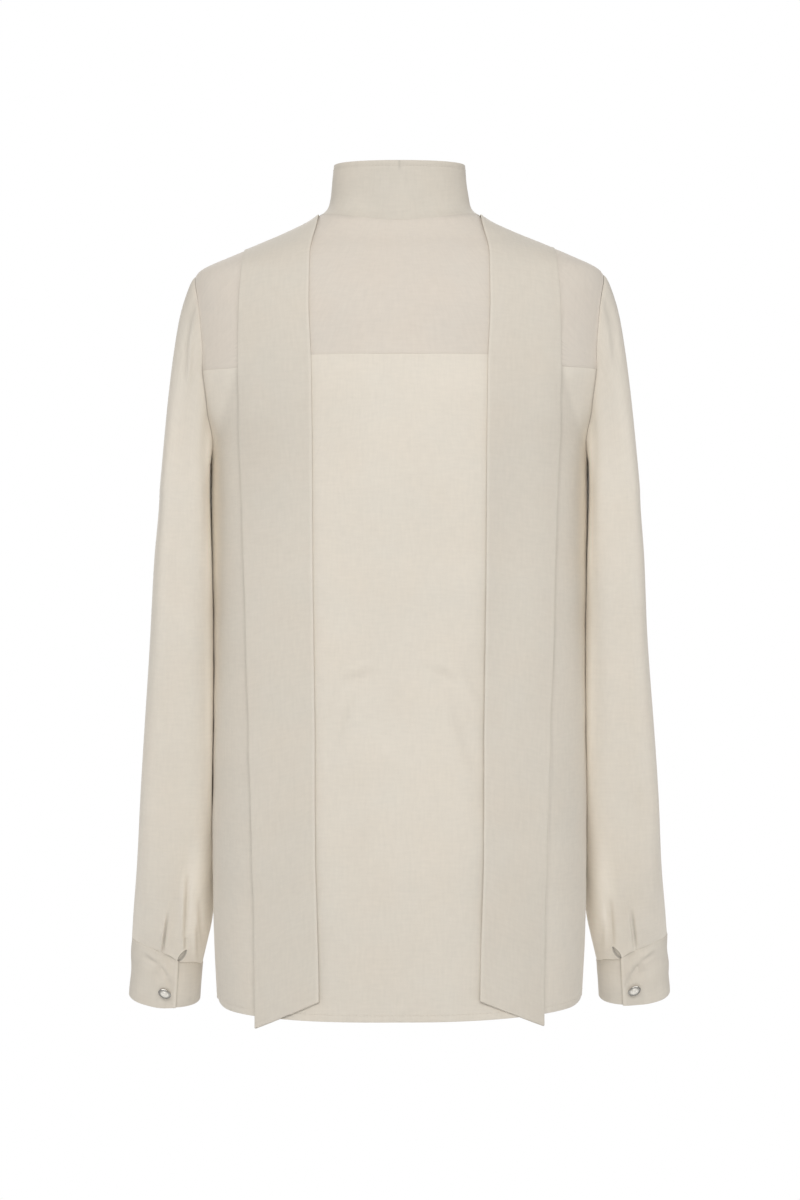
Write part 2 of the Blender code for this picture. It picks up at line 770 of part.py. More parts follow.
def add_buttons(collection):
    for name, side in (("cuff_button_left", 1), ("cuff_button_right", -1)):
        base = cuff_point(BUTTON_TURN, BUTTON_RISE)
        up, out, back = cuff_axes()
        work = bmesh.new()
        bmesh.ops.create_uvsphere(work, u_segments=16, v_segments=8, radius=0.5)
        for vertex in work.verts:
            along, across, high = vertex.co
            along, across = along * BUTTON_LENGTH, across * BUTTON_WIDTH
            tilted = (
                along * math.cos(BUTTON_TILT) - across * math.sin(BUTTON_TILT),
                along * math.sin(BUTTON_TILT) + across * math.cos(BUTTON_TILT),
            )
            rise = SEAM_GAP + (high + 0.5) * BUTTON_HEIGHT
            spot = base + out * tilted[0] + up * tilted[1] + back * rise
            vertex.co = mirrored(spot, side) * MILLIMETRE
        if side > 0:
            bmesh.ops.reverse_faces(work, faces=work.faces)
        add_object(name, work, "silver_button", collection)


def main():
    for item in list(bpy.data.objects):
        bpy.data.objects.remove(item, do_unlink=True)
    blouse = bpy.data.collections.new("silk_blouse")
    bpy.context.scene.collection.children.link(blouse)
    add_body(blouse)
    add_collar(blouse)
    add_ties(blouse)
    add_sleeves(blouse)
    add_cuffs(blouse)
    add_buttons(blouse)


main()
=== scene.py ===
"""Looks of the silk blouse: crepe cloth with its seams, folds, stitches and creases, two silver buttons,
and the stage.

Lengths are in millimetres while a piece is worked out, and metres in its mesh. +X is the wearer's left,
+Y the back and +Z up. Each piece of cloth is a thin shell on the form of its solid.
"""

import math

import bmesh
import bpy
import numpy as np
from mathutils import Matrix, Vector


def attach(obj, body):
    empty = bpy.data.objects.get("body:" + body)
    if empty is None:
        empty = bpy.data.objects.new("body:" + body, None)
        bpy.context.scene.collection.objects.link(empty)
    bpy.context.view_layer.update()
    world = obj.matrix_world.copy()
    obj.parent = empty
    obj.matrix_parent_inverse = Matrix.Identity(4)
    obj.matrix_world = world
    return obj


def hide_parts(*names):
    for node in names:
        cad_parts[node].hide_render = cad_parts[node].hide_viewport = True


bl_info = {
    "name": "Silk blouse",
    "version": (1, 0, 0),
    "blender": (4, 5, 0),
    "location": "View3D > Sidebar > Blouse",
    "description": "Builds a silk blouse with a stand collar and two long back ties",
    "category": "Add Mesh",
}

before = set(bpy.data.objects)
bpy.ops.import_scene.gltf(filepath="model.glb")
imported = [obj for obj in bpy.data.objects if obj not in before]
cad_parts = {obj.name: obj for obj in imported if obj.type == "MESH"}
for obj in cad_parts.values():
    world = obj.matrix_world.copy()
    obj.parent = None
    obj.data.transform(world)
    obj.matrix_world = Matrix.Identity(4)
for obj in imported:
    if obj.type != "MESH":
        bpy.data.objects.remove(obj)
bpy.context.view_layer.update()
MILLIMETRE = 0.001

# Gaps between the pieces: sewn edges all but touch
SEAM_GAP = 0.02
BENT_SEAM_GAP = 0.04
SEAM_OVERLAP = 0.12
LAYER_STEP = 2
TIE_GAP = 1.35
TIE_FRONT_GAP = 2.6
TIE_GAP_REACH = 48.5
TIE_LIFT_SHARE = 0.22
TIE_OUTER_SINK = 0.45

# Neck and collar
NECK_HALF_WIDTH = 70
NECK_CENTRE_TURN = 89
BACK_NECK_DROP = 8.8
FRONT_NECK_DROP = 58
BACK_NECK_POWER = 3
FRONT_NECK_POWER = 3.5
RIM_HALF_WIDTH = 57.4
RIM_HALF_DEPTH = 48.5
RIM_CENTRE_Y = -3.5
RIM_SIDE_Z = 44.6
RIM_BACK_Z = 43.4
RIM_FRONT_Z = -10
COLLAR_FLARE_POWER = (5, 10)
COLLAR_SPREAD_SHARE = 0.36

# Yoke
YOKE_CENTRE_Z = -127.4
YOKE_BACK_ARMHOLE_TURN = 92
YOKE_STEP = (72, 150)
YOKE_SLOPE_SHARE = 0.15
FAN_Z = -120
FAN_REACH = 300
FAN_HALVINGS = 30
YOKE_FRONT_NECK_TURN = -27
YOKE_FRONT_ARMHOLE_TURN = -36

# Armhole
ARMHOLE_CENTRE_Z = -134
ARMHOLE_HALF_HEIGHT = 83
ARMHOLE_HALF_WIDTH = 44.5
ARMHOLE_EGG = 0.22
ARMHOLE_UPPER_EGG = 0.02

# Hem: a gentle slope to the sides, and a corner there
HEM_BACK_Z = -692.6
HEM_FRONT_Z = -689
HEM_SIDE_Z = -684.2
HEM_SLOPE_SHARE = 0.39
HEM_SLOPE_POWER = 3
HEM_CORNER_POWER = 36
HEM_EDGE = (0.6, 0, 7)
HEM_STITCH_RISE = 6
HEM_CURL = 0.5
HEM_CURL_X = (120, 158)
HEM_CURL_DROP = (645, 695)

# How the blouse hangs a little uneven
LEFT_SHOULDER_DROP = 1.8
LEFT_SHOULDER_X = (45, 150)
LEFT_SHOULDER_Z = (-330, -60)
RIGHT_HEM_LIFT = 2.5
RIGHT_HEM_X = (20, 150)
RIGHT_HEM_DROP = (380, 640)

PLACKET_HALF_WIDTH = 15

# Ties
TIE_FRONT_END_Z = -145
TIE_SHOULDER_OUTER_X = 132.6
TIE_INNER_END_Z = -675.5
TIE_OUTER_END_Z = -701
TIE_FRONT_SHARE = 10 / 36
TIE_SHOULDER_SHARE = 20 / 36
TIE_SHOULDER_Z = (-90, -50)
TIE_SINK_START = (0.75, 1)
TIE_OFF_YOKE = (-10, 30)
TIE_DEEPEST = -1
TIE_ROUNDS = 4

# Sleeves
SLEEVE_TOP_Z = -240
SLEEVE_BODY_GAP = 0.3
SLEEVE_SQUARENESS = 4.5
SLEEVE_END_SQUARENESS = 2.1
SLEEVE_ROUNDING_DROP = (480, 630)
CAP_END = 6 / 23
RINGS_END = 20 / 23
CAP_DOWN_POWER = 1.6
CAP_OUT_POWER = 0.79
CAP_DROP = 3.6
CAP_DROP_SHARE, CAP_DROP_REACH = 0.17, 0.24
CAP_GAP_PACE = 3

# Cuffs
CUFF_CENTRE = np.array((210.6, -76, -690.6))
CUFF_HALF_WIDTH = 32
CUFF_HALF_DEPTH = 28.5
CUFF_FORWARD_LEAN = math.radians(17.5)
CUFF_INWARD_LEAN = math.radians(4.2)
CUFF_EDGE_TURN = 111.5
CUFF_OVERLAP_TURN = 42
CUFF_STEP_TURN = 40
CUFF_LAYER_STEP = 1.5
SLIT_FOOT = (196.4, -656.6)
SLIT_TIP = (188.4, -645.8)
SLIT_HALF_WIDTH = 1.75
SLIT_ROUNDNESS = 0.7
SLIT_DEPTH = 1.8
SLIT_HOLLOW = (-0.1, 0.5)
SLIT_OUTLINE_WIDTH = 0.45
SLIT_SHADED_SIDE = (-0.8, 0.8)
SLIT_LIT_SHARE = 0.6
SLIT_LIP_OFFSET, SLIT_LIP_WIDTH, SLIT_LIP_RISE = 0.9, 0.6, 0.35
# Painted shadow along the slit's outline, painted shade in its hollow and a painted highlight on its lip
SLIT_SHADE_AND_HIGHLIGHT = (-0.8, -0.16, 0.03)  # of its outline, its hollow and its lip

# Buttons
BUTTON_TURN = 92
BUTTON_RISE = 15.2
BUTTON_TILT = math.radians(25)

# Torso form and the panels laid out on it
TOP_FADE_POWER = 6
WIDEST_Z = -100
SIDE_POWER = 2.7
DEPTH_POWER = 2.0
ARMHOLE_STEP = 18
NECK_STEP = 9
ROWS_BELOW_ARMHOLE = 17


# ---------------------------------------------------------------- curves and tables


class Table:
    """Rows of numbers with named columns, and the smooth curve through them along the first column."""

    def __init__(self, names, *rows):
        self.names = names.split()
        rows = np.array(sorted(rows), float)
        self.keys, self.values = rows[:, 0], rows[:, 1:]
        span = np.diff(self.keys)[:, None]
        rise = np.diff(self.values, axis=0) / span
        slopes = np.zeros_like(self.values)
        before, after = rise[:-1], rise[1:]
        same_way = before * after > 0
        total = np.where(same_way, before + after, 1)
        slopes[1:-1] = np.where(same_way, 2 * before * after / total, 0)
        self.slopes = slopes

    def column(self, name, at):
        at = np.clip(at, self.keys[0], self.keys[-1])
        i = np.clip(np.searchsorted(self.keys, at, "right") - 1, 0, len(self.keys) - 2)
        span = self.keys[i + 1] - self.keys[i]
        t = (at - self.keys[i]) / span
        c = self.names.index(name) - 1
        start, end = self.values[i, c], self.values[i + 1, c]
        leave, arrive = self.slopes[i, c] * span, self.slopes[i + 1, c] * span
        return (
            start * (1 + 2 * t) * (1 - t) ** 2
            + leave * t * (1 - t) ** 2
            + end * t * t * (3 - 2 * t)
            - arrive * t * t * (1 - t)
        )


TORSO = Table(
    "z half_width back_depth front_depth",
    (-720, 159.5, 108, 119),
    (-600, 163, 106, 119),
    (-500, 164, 103, 118),
    (-400, 164, 102, 118),
    (-300, 164, 105, 122),
    (-230, 164, 108, 122),
    (-205, 166, 108, 117),
    (-170, 178, 106, 108),
    (-130, 184, 102, 97),
    (-100, 184, 97, 86),
    (-80, 183, 92, 76),
    (-62, 181.5, 85, 67),
    (-51, 178, 79, 62),
    (-47, 174.5, 76.5, 61),
    (-34.5, 147.4, 68.5, 57),
    (-22.4, 116, 58.5, 53),
    (-15, 98, 54.5, 51.5),
    (-6.8, 80.5, 51, 49.5),
    (0, 70, 48, 48),
    (20, 36, 42, 42),
)
SLEEVE = Table(
    "z outer_x inner_x centre_y half_depth lean",
    (-618, 236.9, 166, -55.5, 38, 15.5),
    (-585, 233.2, 162, -46, 45, 12),
    (-513, 227.4, 160, -31, 50, 8),
    (-442, 221.8, 160, -20, 53, 5),
    (-371, 216.8, 161, -12, 56, 3),
    (-301, 213.0, 163, -7, 58, 1),
    (SLEEVE_TOP_Z, 208.8, 165, -4, 58, 0),
)
SLEEVE_LAST_Z = SLEEVE.keys[0]
CUFF_HEIGHTS = Table(
    "turn height",
    (-90, 48),
    (0, 56),
    (45, 57.5),
    (61, 56.5),
    (84, 53.5),
    (98, 50.5),
    (109, 46),
    (117, 44.5),
    (141, 42),
    (162, 37.5),
    (180, 35),
    (225, 38),
    (270, 48),
)
TIE_BACK = Table(
    "z inner_x outer_x lift",
    (-703, 67.2, 122.5, 6),
    (-620, 68.6, 123.2, 5.5),
    (-550, 70.7, 125.2, 5),
    (-450, 71.1, 128.2, 4),
    (-300, 73.0, 132.6, 2),
    (-210, 73.5, 135.6, 1),
    (-140, 74.4, 137.5, 0.4),
    (-80, 76.9, 137.2, 0),
    (-40, 76.7, 135.2, 0),
    (0, 70.0, 132.6, 0),
)


def lerp(start, end, t):
    return start + (end - start) * t


def bump(at, centre, half_width):
    """1 at the centre, falling softly to 0 at half_width from it."""
    reach = np.minimum(np.abs(at - centre) / half_width, 1)
    return 0.5 + 0.5 * np.cos(np.pi * reach)


def rise(at, start, end):
    """0 before start, 1 after end and a soft step between."""
    t = np.clip((at - start) / (end - start), 0, 1)
    return t * t * (3 - 2 * t)


def bell(off, width):
    """1 where off is 0, falling away smoothly on both sides."""
    return np.exp(-((off / width) ** 2))


def signed_power(value, power):
    return np.sign(value) * np.abs(value) ** power


def points(x, y, z):
    return np.stack(np.broadcast_arrays(x, y, z), axis=-1).astype(float)


def lengths(vectors):
    return np.linalg.norm(vectors, axis=-1, keepdims=True)


def unit(vectors):
    return vectors / np.maximum(lengths(vectors), 1e-9)


# ---------------------------------------------------------------- torso form


def torso_depth(y, z):
    return np.where(y > 0, TORSO.column("back_depth", z), TORSO.column("front_depth", z))


def torso_level(p):
    """Below 0 inside the torso form, 0 on it and above 0 outside."""
    x, y, z = p[..., 0], p[..., 1], p[..., 2]
    wide = (np.abs(x) / TORSO.column("half_width", z)) ** SIDE_POWER
    return wide + (np.abs(y) / torso_depth(y, z)) ** DEPTH_POWER - 1


def outward(p):
    """The direction square to the torso form at points on it."""
    shifts = 0.5 * np.eye(3)
    return unit(np.stack([torso_level(p + s) - torso_level(p - s) for s in shifts], axis=-1))


def on_torso(x, z, side):
    """The points of the form at this x and z, on its back (side 1) or its front (side -1)."""
    left_over = np.maximum(1 - (np.abs(x) / TORSO.column("half_width", z)) ** SIDE_POWER, 0)
    return points(x, side * torso_depth(side, z) * left_over ** (1 / DEPTH_POWER), z)


def side_x(y, z):
    """Half the width of the form at this y and z."""
    left_over = np.maximum(1 - (np.abs(y) / torso_depth(y, z)) ** DEPTH_POWER, 0)
    return TORSO.column("half_width", z) * left_over ** (1 / SIDE_POWER)


def fan_point(x, turn):
    """Where the form meets a ray at this x: turn 0 runs to the back, 90 up and 180 to the front."""
    x, turn = np.broadcast_arrays(np.asarray(x, float), np.radians(turn))
    near, far = np.zeros(x.shape), np.full(x.shape, float(FAN_REACH))
    for _ in range(FAN_HALVINGS):
        middle = (near + far) / 2
        inside = torso_level(points(x, np.cos(turn) * middle, FAN_Z + np.sin(turn) * middle)) < 0
        near, far = np.where(inside, middle, near), np.where(inside, far, middle)
    return points(x, np.cos(turn) * near, FAN_Z + np.sin(turn) * near)


def fan_turn(p):
    turn = np.degrees(np.arctan2(p[..., 2] - FAN_Z, p[..., 1]))
    return np.where(turn < -90, turn + 360, turn)


def between(start, end, t):
    """Points of the form part of the way from one to another, measured along the fan."""
    x = lerp(start[..., 0], end[..., 0], t)
    return fan_point(x, lerp(fan_turn(start), fan_turn(end), t))


# ---------------------------------------------------------------- seams, all on the wearer's left


def neckline(turn):
    """Turn 0 is the shoulder, 90 the centre back and -90 the centre front."""
    turn = np.asarray(turn, float)
    swing = np.abs(np.sin(np.radians(turn)))
    x = NECK_HALF_WIDTH * np.cos(np.radians(turn))
    back = on_torso(x, -BACK_NECK_DROP * swing**BACK_NECK_POWER, 1)
    front = on_torso(x, -FRONT_NECK_DROP * swing**FRONT_NECK_POWER, -1)
    return np.where((turn > 0)[..., None], back, front)


def armhole(turn):
    """Turn 0 is the shoulder, 90 the back, 180 the underarm and -90 the front."""
    up, back = np.cos(np.radians(turn)), np.sin(np.radians(turn))
    z = ARMHOLE_CENTRE_Z + ARMHOLE_HALF_HEIGHT * up
    egg = np.where((up > 0) & (back > 0), ARMHOLE_UPPER_EGG, ARMHOLE_EGG)
    y = ARMHOLE_HALF_WIDTH * back * (1 - egg * up)
    return points(side_x(y, z), y, z)


def yoke_seam_z(x):
    end = armhole(YOKE_BACK_ARMHOLE_TURN)
    reach = np.minimum(np.abs(x) / end[0], 1)
    return lerp(YOKE_CENTRE_Z, end[2], lerp(rise(np.abs(x), *YOKE_STEP), reach, YOKE_SLOPE_SHARE))


def hem_z(x, side):
    centre = HEM_BACK_Z if side > 0 else HEM_FRONT_Z
    reach = np.minimum(np.abs(x) / TORSO.column("half_width", HEM_SIDE_Z), 1)
    return lerp(centre, HEM_SIDE_Z, lerp(reach**HEM_CORNER_POWER, reach**HEM_SLOPE_POWER, HEM_SLOPE_SHARE))


def neck_edge(turn, gap):
    """Points of the form this far out from the front neckline."""
    p = neckline(turn)
    near_centre = (np.abs(turn) >= NECK_CENTRE_TURN)[..., None]
    along = np.where(near_centre, (-1.0, 0, 0), neckline(turn + 1) - neckline(turn - 1))
    away = unit(np.cross(along, outward(p)))
    flipped = p[..., 0] * away[..., 0] - NECK_HALF_WIDTH * away[..., 2] < 0
    moved = p + np.where(flipped[..., None], -away, away) * gap
    return on_torso(moved[..., 0], moved[..., 2], -1)


def shoulder_seam(t, gap):
    """The yoke's front seam, from the armhole (t = 0) to the neck (t = 1), moved forward by a gap."""
    outer, inner = armhole(YOKE_FRONT_ARMHOLE_TURN), neckline(YOKE_FRONT_NECK_TURN)
    forward = math.degrees(gap / math.hypot(outer[1], outer[2] - FAN_Z))
    turn = lerp(fan_turn(outer), fan_turn(inner), t) + forward
    return fan_point(lerp(outer[0], inner[0], t), turn)


# ---------------------------------------------------------------- surfaces of the pieces


def spread(p):
    """Points of the front or back as an angle round the form and a height, where panels are laid out."""
    width = TORSO.column("half_width", np.minimum(p[..., 2], WIDEST_Z))
    share = np.minimum(np.abs(p[..., 0]) / width, 1) ** (SIDE_POWER / 2)
    return np.stack([np.arccos(share), p[..., 2]], axis=-1)


def gathered(spot, side):
    """The points of the form that spread() gives as these."""
    width = TORSO.column("half_width", np.minimum(spot[..., 1], WIDEST_Z))
    x = width * np.maximum(np.cos(spot[..., 0]), 0) ** (2 / SIDE_POWER)
    return on_torso(x, spot[..., 1], side)


def patch(top, bottom, edge, centre, u, v):
    """A sheet held by four curves; u runs from edge to centre and v from top to bottom."""
    fade = (1 - (1 - v) ** TOP_FADE_POWER)[..., None]
    across = u[..., None]
    zero, one = np.zeros_like(u), np.ones_like(u)
    first = lerp(top(zero), bottom(zero), fade)
    last = lerp(top(one), bottom(one), fade)
    return lerp(top(u), bottom(u), fade) + lerp(edge(v), centre(v), across) - lerp(first, last, across)


def share_beside(first_turn):
    """The share of a panel's height that lies beside the armhole."""
    beside = (180 - abs(first_turn)) / ARMHOLE_STEP
    return beside / (beside + ROWS_BELOW_ARMHOLE)


def panel_edge(v, first_turn, side, first):
    """Down the armhole from the point `first` to the underarm, then down the side seam."""
    beside = share_beside(first_turn)
    t = np.clip(v / beside, 0, 1)
    shift = (first - armhole(first_turn)) * (1 - t)[..., None]
    spot = armhole(lerp(first_turn, side * 180, t)) + shift
    below = v > beside
    underarm = armhole(180)[2]
    z = np.where(below, lerp(underarm, HEM_SIDE_Z, (v - beside) / (1 - beside)), spot[..., 2])
    y = np.where(below, BENT_SEAM_GAP / 2, np.maximum(np.abs(spot[..., 1]), BENT_SEAM_GAP / 2))
    return spread(points(side_x(side * y, z), side * y, z))


def panel_centre(v, first_turn, top_z, bottom_z, x):
    """Down the centre line, level with the edge at the underarm."""
    beside = share_beside(first_turn)
    middle = armhole(180)[2]
    above = lerp(top_z, middle, v / beside)
    z = np.where(v < beside, above, lerp(middle, bottom_z, (v - beside) / (1 - beside)))
    return spread(points(np.full_like(z, x), 0, z))


def hem_spot(u, side, x):
    """Along the hem from the side seam to the centre."""
    corner = side_x(side * BENT_SEAM_GAP / 2, HEM_SIDE_Z)
    first = spread(np.array((corner, 0, HEM_SIDE_Z)))[0]
    last = spread(np.array((x, 0, HEM_BACK_Z)))[0]
    angle = lerp(first, last, u)
    level = gathered(np.stack([angle, np.full_like(angle, HEM_SIDE_Z)], axis=-1), side)
    return np.stack([angle, hem_z(level[..., 0], side)], axis=-1)


def mirrored(p, side):
    return p * np.stack(np.broadcast_arrays(side, 1, 1), axis=-1)


def yoke_surface(u, v):
    """A horseshoe round the neck: u runs round it and v from the neckline out."""
    side = np.where(u < 0.5, 1, -1)
    beside = YOKE_BACK_ARMHOLE_TURN - YOKE_FRONT_ARMHOLE_TURN
    neck_span = 90 - YOKE_FRONT_NECK_TURN
    neck_share = beside / ARMHOLE_STEP * NECK_STEP / neck_span
    along = 1 - np.abs(1 - 2 * u)
    inner = neckline(YOKE_FRONT_NECK_TURN + neck_span * along)
    sleeve_side = armhole(YOKE_FRONT_ARMHOLE_TURN + beside * np.minimum(along / neck_share, 1))
    past_sleeve = np.clip((along - neck_share) / (1 - neck_share), 0, 1)
    x = lerp(armhole(YOKE_BACK_ARMHOLE_TURN)[0], 0, past_sleeve)
    outer = np.where((along < neck_share)[..., None], sleeve_side, on_torso(x, yoke_seam_z(x), 1))
    seam = SEAM_GAP / lengths(outer - inner)[..., 0]
    return mirrored(between(inner, outer, lerp(seam, 1, v)), side)


def back_surface(u, v):
    """The back panel, from the left side seam (u = 0) to the right one."""

    def top(t):
        angle = lerp(spread(armhole(YOKE_BACK_ARMHOLE_TURN))[0], math.pi / 2, t)
        level = gathered(np.stack([angle, np.full_like(angle, ARMHOLE_CENTRE_Z)], axis=-1), 1)
        return np.stack([angle, yoke_seam_z(level[..., 0]) - SEAM_GAP], axis=-1)

    first = armhole(YOKE_BACK_ARMHOLE_TURN) - np.array((0, 0, SEAM_GAP))
    spot = patch(
        top,
        lambda t: hem_spot(t, 1, 0),
        lambda t: panel_edge(t, YOKE_BACK_ARMHOLE_TURN, 1, first),
        lambda t: panel_centre(t, YOKE_BACK_ARMHOLE_TURN, YOKE_CENTRE_Z - SEAM_GAP, HEM_BACK_Z, 0),
        1 - np.abs(1 - 2 * u),
        v,
    )
    return mirrored(gathered(spot, 1), np.where(u < 0.5, 1, -1))


def front_centre(v, x):
    top_z = neck_edge(np.array(-90.0), BENT_SEAM_GAP)[2]
    return panel_centre(v, YOKE_FRONT_ARMHOLE_TURN, top_z, HEM_FRONT_Z, x)


def front_surface(u, v):
    """The left front, from the side seam (u = 0) to the centre front."""
    seam_share = 0.5
    inner_x = SEAM_GAP / 2
    corner_turn = YOKE_FRONT_NECK_TURN - math.degrees(BENT_SEAM_GAP / NECK_HALF_WIDTH)

    def top(t):
        turn = lerp(corner_turn, -90, np.clip((t - seam_share) / (1 - seam_share), 0, 1))
        neck = neck_edge(turn, BENT_SEAM_GAP)
        neck[..., 0] = np.maximum(neck[..., 0], inner_x)
        seam = shoulder_seam(np.clip(t / seam_share, 0, 1), BENT_SEAM_GAP)
        return spread(np.where((t < seam_share)[..., None], seam, neck))

    first = shoulder_seam(np.array(0.0), BENT_SEAM_GAP)
    spot = patch(
        top,
        lambda t: hem_spot(t, -1, inner_x),
        lambda t: panel_edge(t, YOKE_FRONT_ARMHOLE_TURN, -1, first),
        lambda t: front_centre(t, inner_x),
        u,
        v,
    )
    return gathered(spot, -1)


def placket_surface(u, v):
    x = lerp(-PLACKET_HALF_WIDTH, PLACKET_HALF_WIDTH, u)
    spot = on_torso(x, front_centre(v, 0)[..., 1], -1)
    return spot + outward(spot) * LAYER_STEP


def collar_surface(u, v):
    """u runs round the neck from the centre front to the centre front, v from the seam to the rim."""
    turn = 90 - 180 * np.abs(1 - 2 * u)
    side = np.where(u < 0.5, 1, -1)
    base = neckline(turn)
    swing = np.radians(turn)
    rim_end = np.where(turn > 0, RIM_BACK_Z, RIM_FRONT_Z)
    rim_z = lerp(RIM_SIDE_Z, rim_end, np.sin(swing) ** 2)
    rim_y = RIM_CENTRE_Y + RIM_HALF_DEPTH * np.sin(swing)
    rim = points(RIM_HALF_WIDTH * np.cos(swing), rim_y, rim_z)
    sideways = np.cos(swing) ** 2
    flare = (1 - v) ** lerp(*COLLAR_FLARE_POWER, sideways)
    p = lerp(rim, base, lerp(flare, 1 - v, COLLAR_SPREAD_SHARE * sideways)[..., None])
    p[..., 2] = lerp(base[..., 2], rim_z, v)
    p[..., 0] = np.maximum(p[..., 0], SEAM_GAP / 2)
    return mirrored(p, side)


def tie_edges(v):
    """Inner and outer edge points on the form, from the centre front (v = 0) over the shoulder and down."""
    front_end, shoulder_end = TIE_FRONT_SHARE, TIE_SHOULDER_SHARE
    t = np.clip(1 - v / front_end, 0, 1)
    shoulder = fan_point(TIE_SHOULDER_OUTER_X, 90)
    outer_x, outer_z = lerp(shoulder[0], SEAM_GAP, t * t), lerp(shoulder[2], TIE_FRONT_END_Z, t * t)
    front_outer = on_torso(outer_x, outer_z, -1)
    front_inner = neckline(-90 * t)
    front_inner[..., 0] = np.maximum(front_inner[..., 0], SEAM_GAP)
    turn = 90 * (1 - np.clip((v - front_end) / (shoulder_end - front_end), 0, 1))
    down = np.clip((v - shoulder_end) / (1 - shoulder_end), 0, 1)
    edges = []
    for column, start_x, end_z, front in (
        ("inner_x", NECK_HALF_WIDTH, TIE_INNER_END_Z, front_inner),
        ("outer_x", TIE_SHOULDER_OUTER_X, TIE_OUTER_END_Z, front_outer),
    ):
        x = np.full_like(v, start_x)
        for _ in range(TIE_ROUNDS):
            x = TIE_BACK.column(column, fan_point(x, turn)[..., 2])
        z = lerp(FAN_Z, end_z, down)
        back = on_torso(TIE_BACK.column(column, z), z, 1)
        over = np.where((v < shoulder_end)[..., None], fan_point(x, turn), back)
        edges.append(np.where((v < front_end)[..., None], front, over))
    return edges


def tie_surface(u, v):
    """u runs from the inner edge to the outer one, v along the tie."""
    inner, outer = tie_edges(v)
    across = lerp(inner, outer, u[..., None])
    hanging = (np.minimum(inner[..., 2], outer[..., 2]) < FAN_Z) & (inner[..., 1] > 0)
    flat = on_torso(across[..., 0], across[..., 2], 1)
    spot = np.where(hanging[..., None], flat, between(inner, outer, u))
    forward = np.minimum(-spot[..., 1] / TIE_GAP_REACH, 1)
    front_gap = lerp(TIE_GAP, TIE_FRONT_GAP, forward)
    front_gap += LAYER_STEP * bump(spot[..., 0], 0, 3 * PLACKET_HALF_WIDTH)
    back_gap = TIE_GAP + TIE_LIFT_SHARE * TIE_BACK.column("lift", spot[..., 2])
    below_yoke = rise(YOKE_CENTRE_Z - spot[..., 2], *TIE_OFF_YOKE)
    back_gap += below_yoke * np.maximum(back_height(spot[..., 0], spot[..., 2]), TIE_DEEPEST)
    sunk = TIE_OUTER_SINK * rise(u, *TIE_SINK_START) * rise(spot[..., 2], *TIE_SHOULDER_Z)
    gap = np.where(spot[..., 1] < 0, front_gap, back_gap) - sunk
    return spot + outward(spot) * gap[..., None]


def cuff_axes():
    """The cuff's directions: up its middle, to its outer side and to its back."""
    forward, down = math.cos(CUFF_FORWARD_LEAN), math.sin(CUFF_FORWARD_LEAN)
    up = np.array((-math.sin(CUFF_INWARD_LEAN), down, forward))
    up /= np.linalg.norm(up)
    back = np.array((0, forward, -down))
    return up, -np.cross(up, back), back


def cuff_height(turn):
    return CUFF_HEIGHTS.column("height", (turn + 90) % 360 - 90)


def cuff_point(turn, height, inset=0.0):
    """Points of the left cuff's oval, `height` above its lower edge."""
    up, out, back = cuff_axes()
    swing = np.radians(turn)
    wide = np.asarray((CUFF_HALF_WIDTH - inset) * np.cos(swing))[..., None]
    deep = np.asarray((CUFF_HALF_DEPTH - inset) * np.sin(swing))[..., None]
    return CUFF_CENTRE + up * np.asarray(height)[..., None] + out * wide + back * deep


def sleeve_ring(turn, z):
    """Points of the sleeve's rings, clear of the body."""
    outer, inner = SLEEVE.column("outer_x", z), SLEEVE.column("inner_x", z)
    swing, lean = np.radians(turn), np.radians(SLEEVE.column("lean", z))
    power = 2 / lerp(SLEEVE_SQUARENESS, SLEEVE_END_SQUARENESS, rise(-z, *SLEEVE_ROUNDING_DROP))
    reach = SLEEVE.column("half_depth", z) * signed_power(np.sin(swing), power)
    p = points(
        (outer + inner) / 2 + (outer - inner) / 2 * signed_power(np.cos(swing), power),
        SLEEVE.column("centre_y", z) + reach * np.cos(lean),
        z - reach * np.sin(lean),
    )
    p[..., 0] = np.maximum(p[..., 0], side_x(p[..., 1], p[..., 2]) + SLEEVE_BODY_GAP)
    return p


def sleeve_surface(u, v):
    """u runs round the sleeve from the outer side through the back, v from the armhole to the cuff."""
    turn = 360 * u
    t = np.clip(v / CAP_END, 0, 1)
    start, end = armhole(turn), sleeve_ring(turn, np.full_like(u, SLEEVE_TOP_Z))
    start[..., 0] -= SEAM_OVERLAP
    down, out = t**CAP_DOWN_POWER, t**CAP_OUT_POWER
    cap = lerp(start, end, np.stack([out, out, down], axis=-1))
    on_top = np.maximum(np.cos(np.radians(turn)), 0)
    cap[..., 2] -= CAP_DROP * bump(t, CAP_DROP_SHARE, CAP_DROP_REACH) * on_top
    gap = lerp(-SEAM_OVERLAP, SLEEVE_BODY_GAP, np.minimum(CAP_GAP_PACE * t, 1))
    cap[..., 0] = np.maximum(cap[..., 0], side_x(cap[..., 1], cap[..., 2]) + gap)
    z = lerp(SLEEVE_TOP_Z, SLEEVE_LAST_Z, np.clip((v - CAP_END) / (RINGS_END - CAP_END), 0, 1))
    rings = sleeve_ring(turn, z)
    edge = cuff_point(turn, cuff_height(turn) + BENT_SEAM_GAP)
    last = lerp(rings, edge, np.clip((v - RINGS_END) / (1 - RINGS_END), 0, 1)[..., None])
    lower = np.where((v < RINGS_END)[..., None], rings, last)
    return np.where((v < CAP_END)[..., None], cap, lower)


def cuff_surface(u, v):
    """u winds once round and past the start, from the hidden lower end to the overlapping edge."""
    turn = lerp(CUFF_EDGE_TURN - CUFF_OVERLAP_TURN, CUFF_EDGE_TURN + 360, u)
    past = np.clip((turn - CUFF_EDGE_TURN) / CUFF_STEP_TURN, 0, 1)
    return cuff_point(turn, cuff_height(turn) * (1 - v), CUFF_LAYER_STEP * (1 - past))


# ---------------------------------------------------------------- folds, creases and swells


EVEN = ((0, 1), (0, 1))


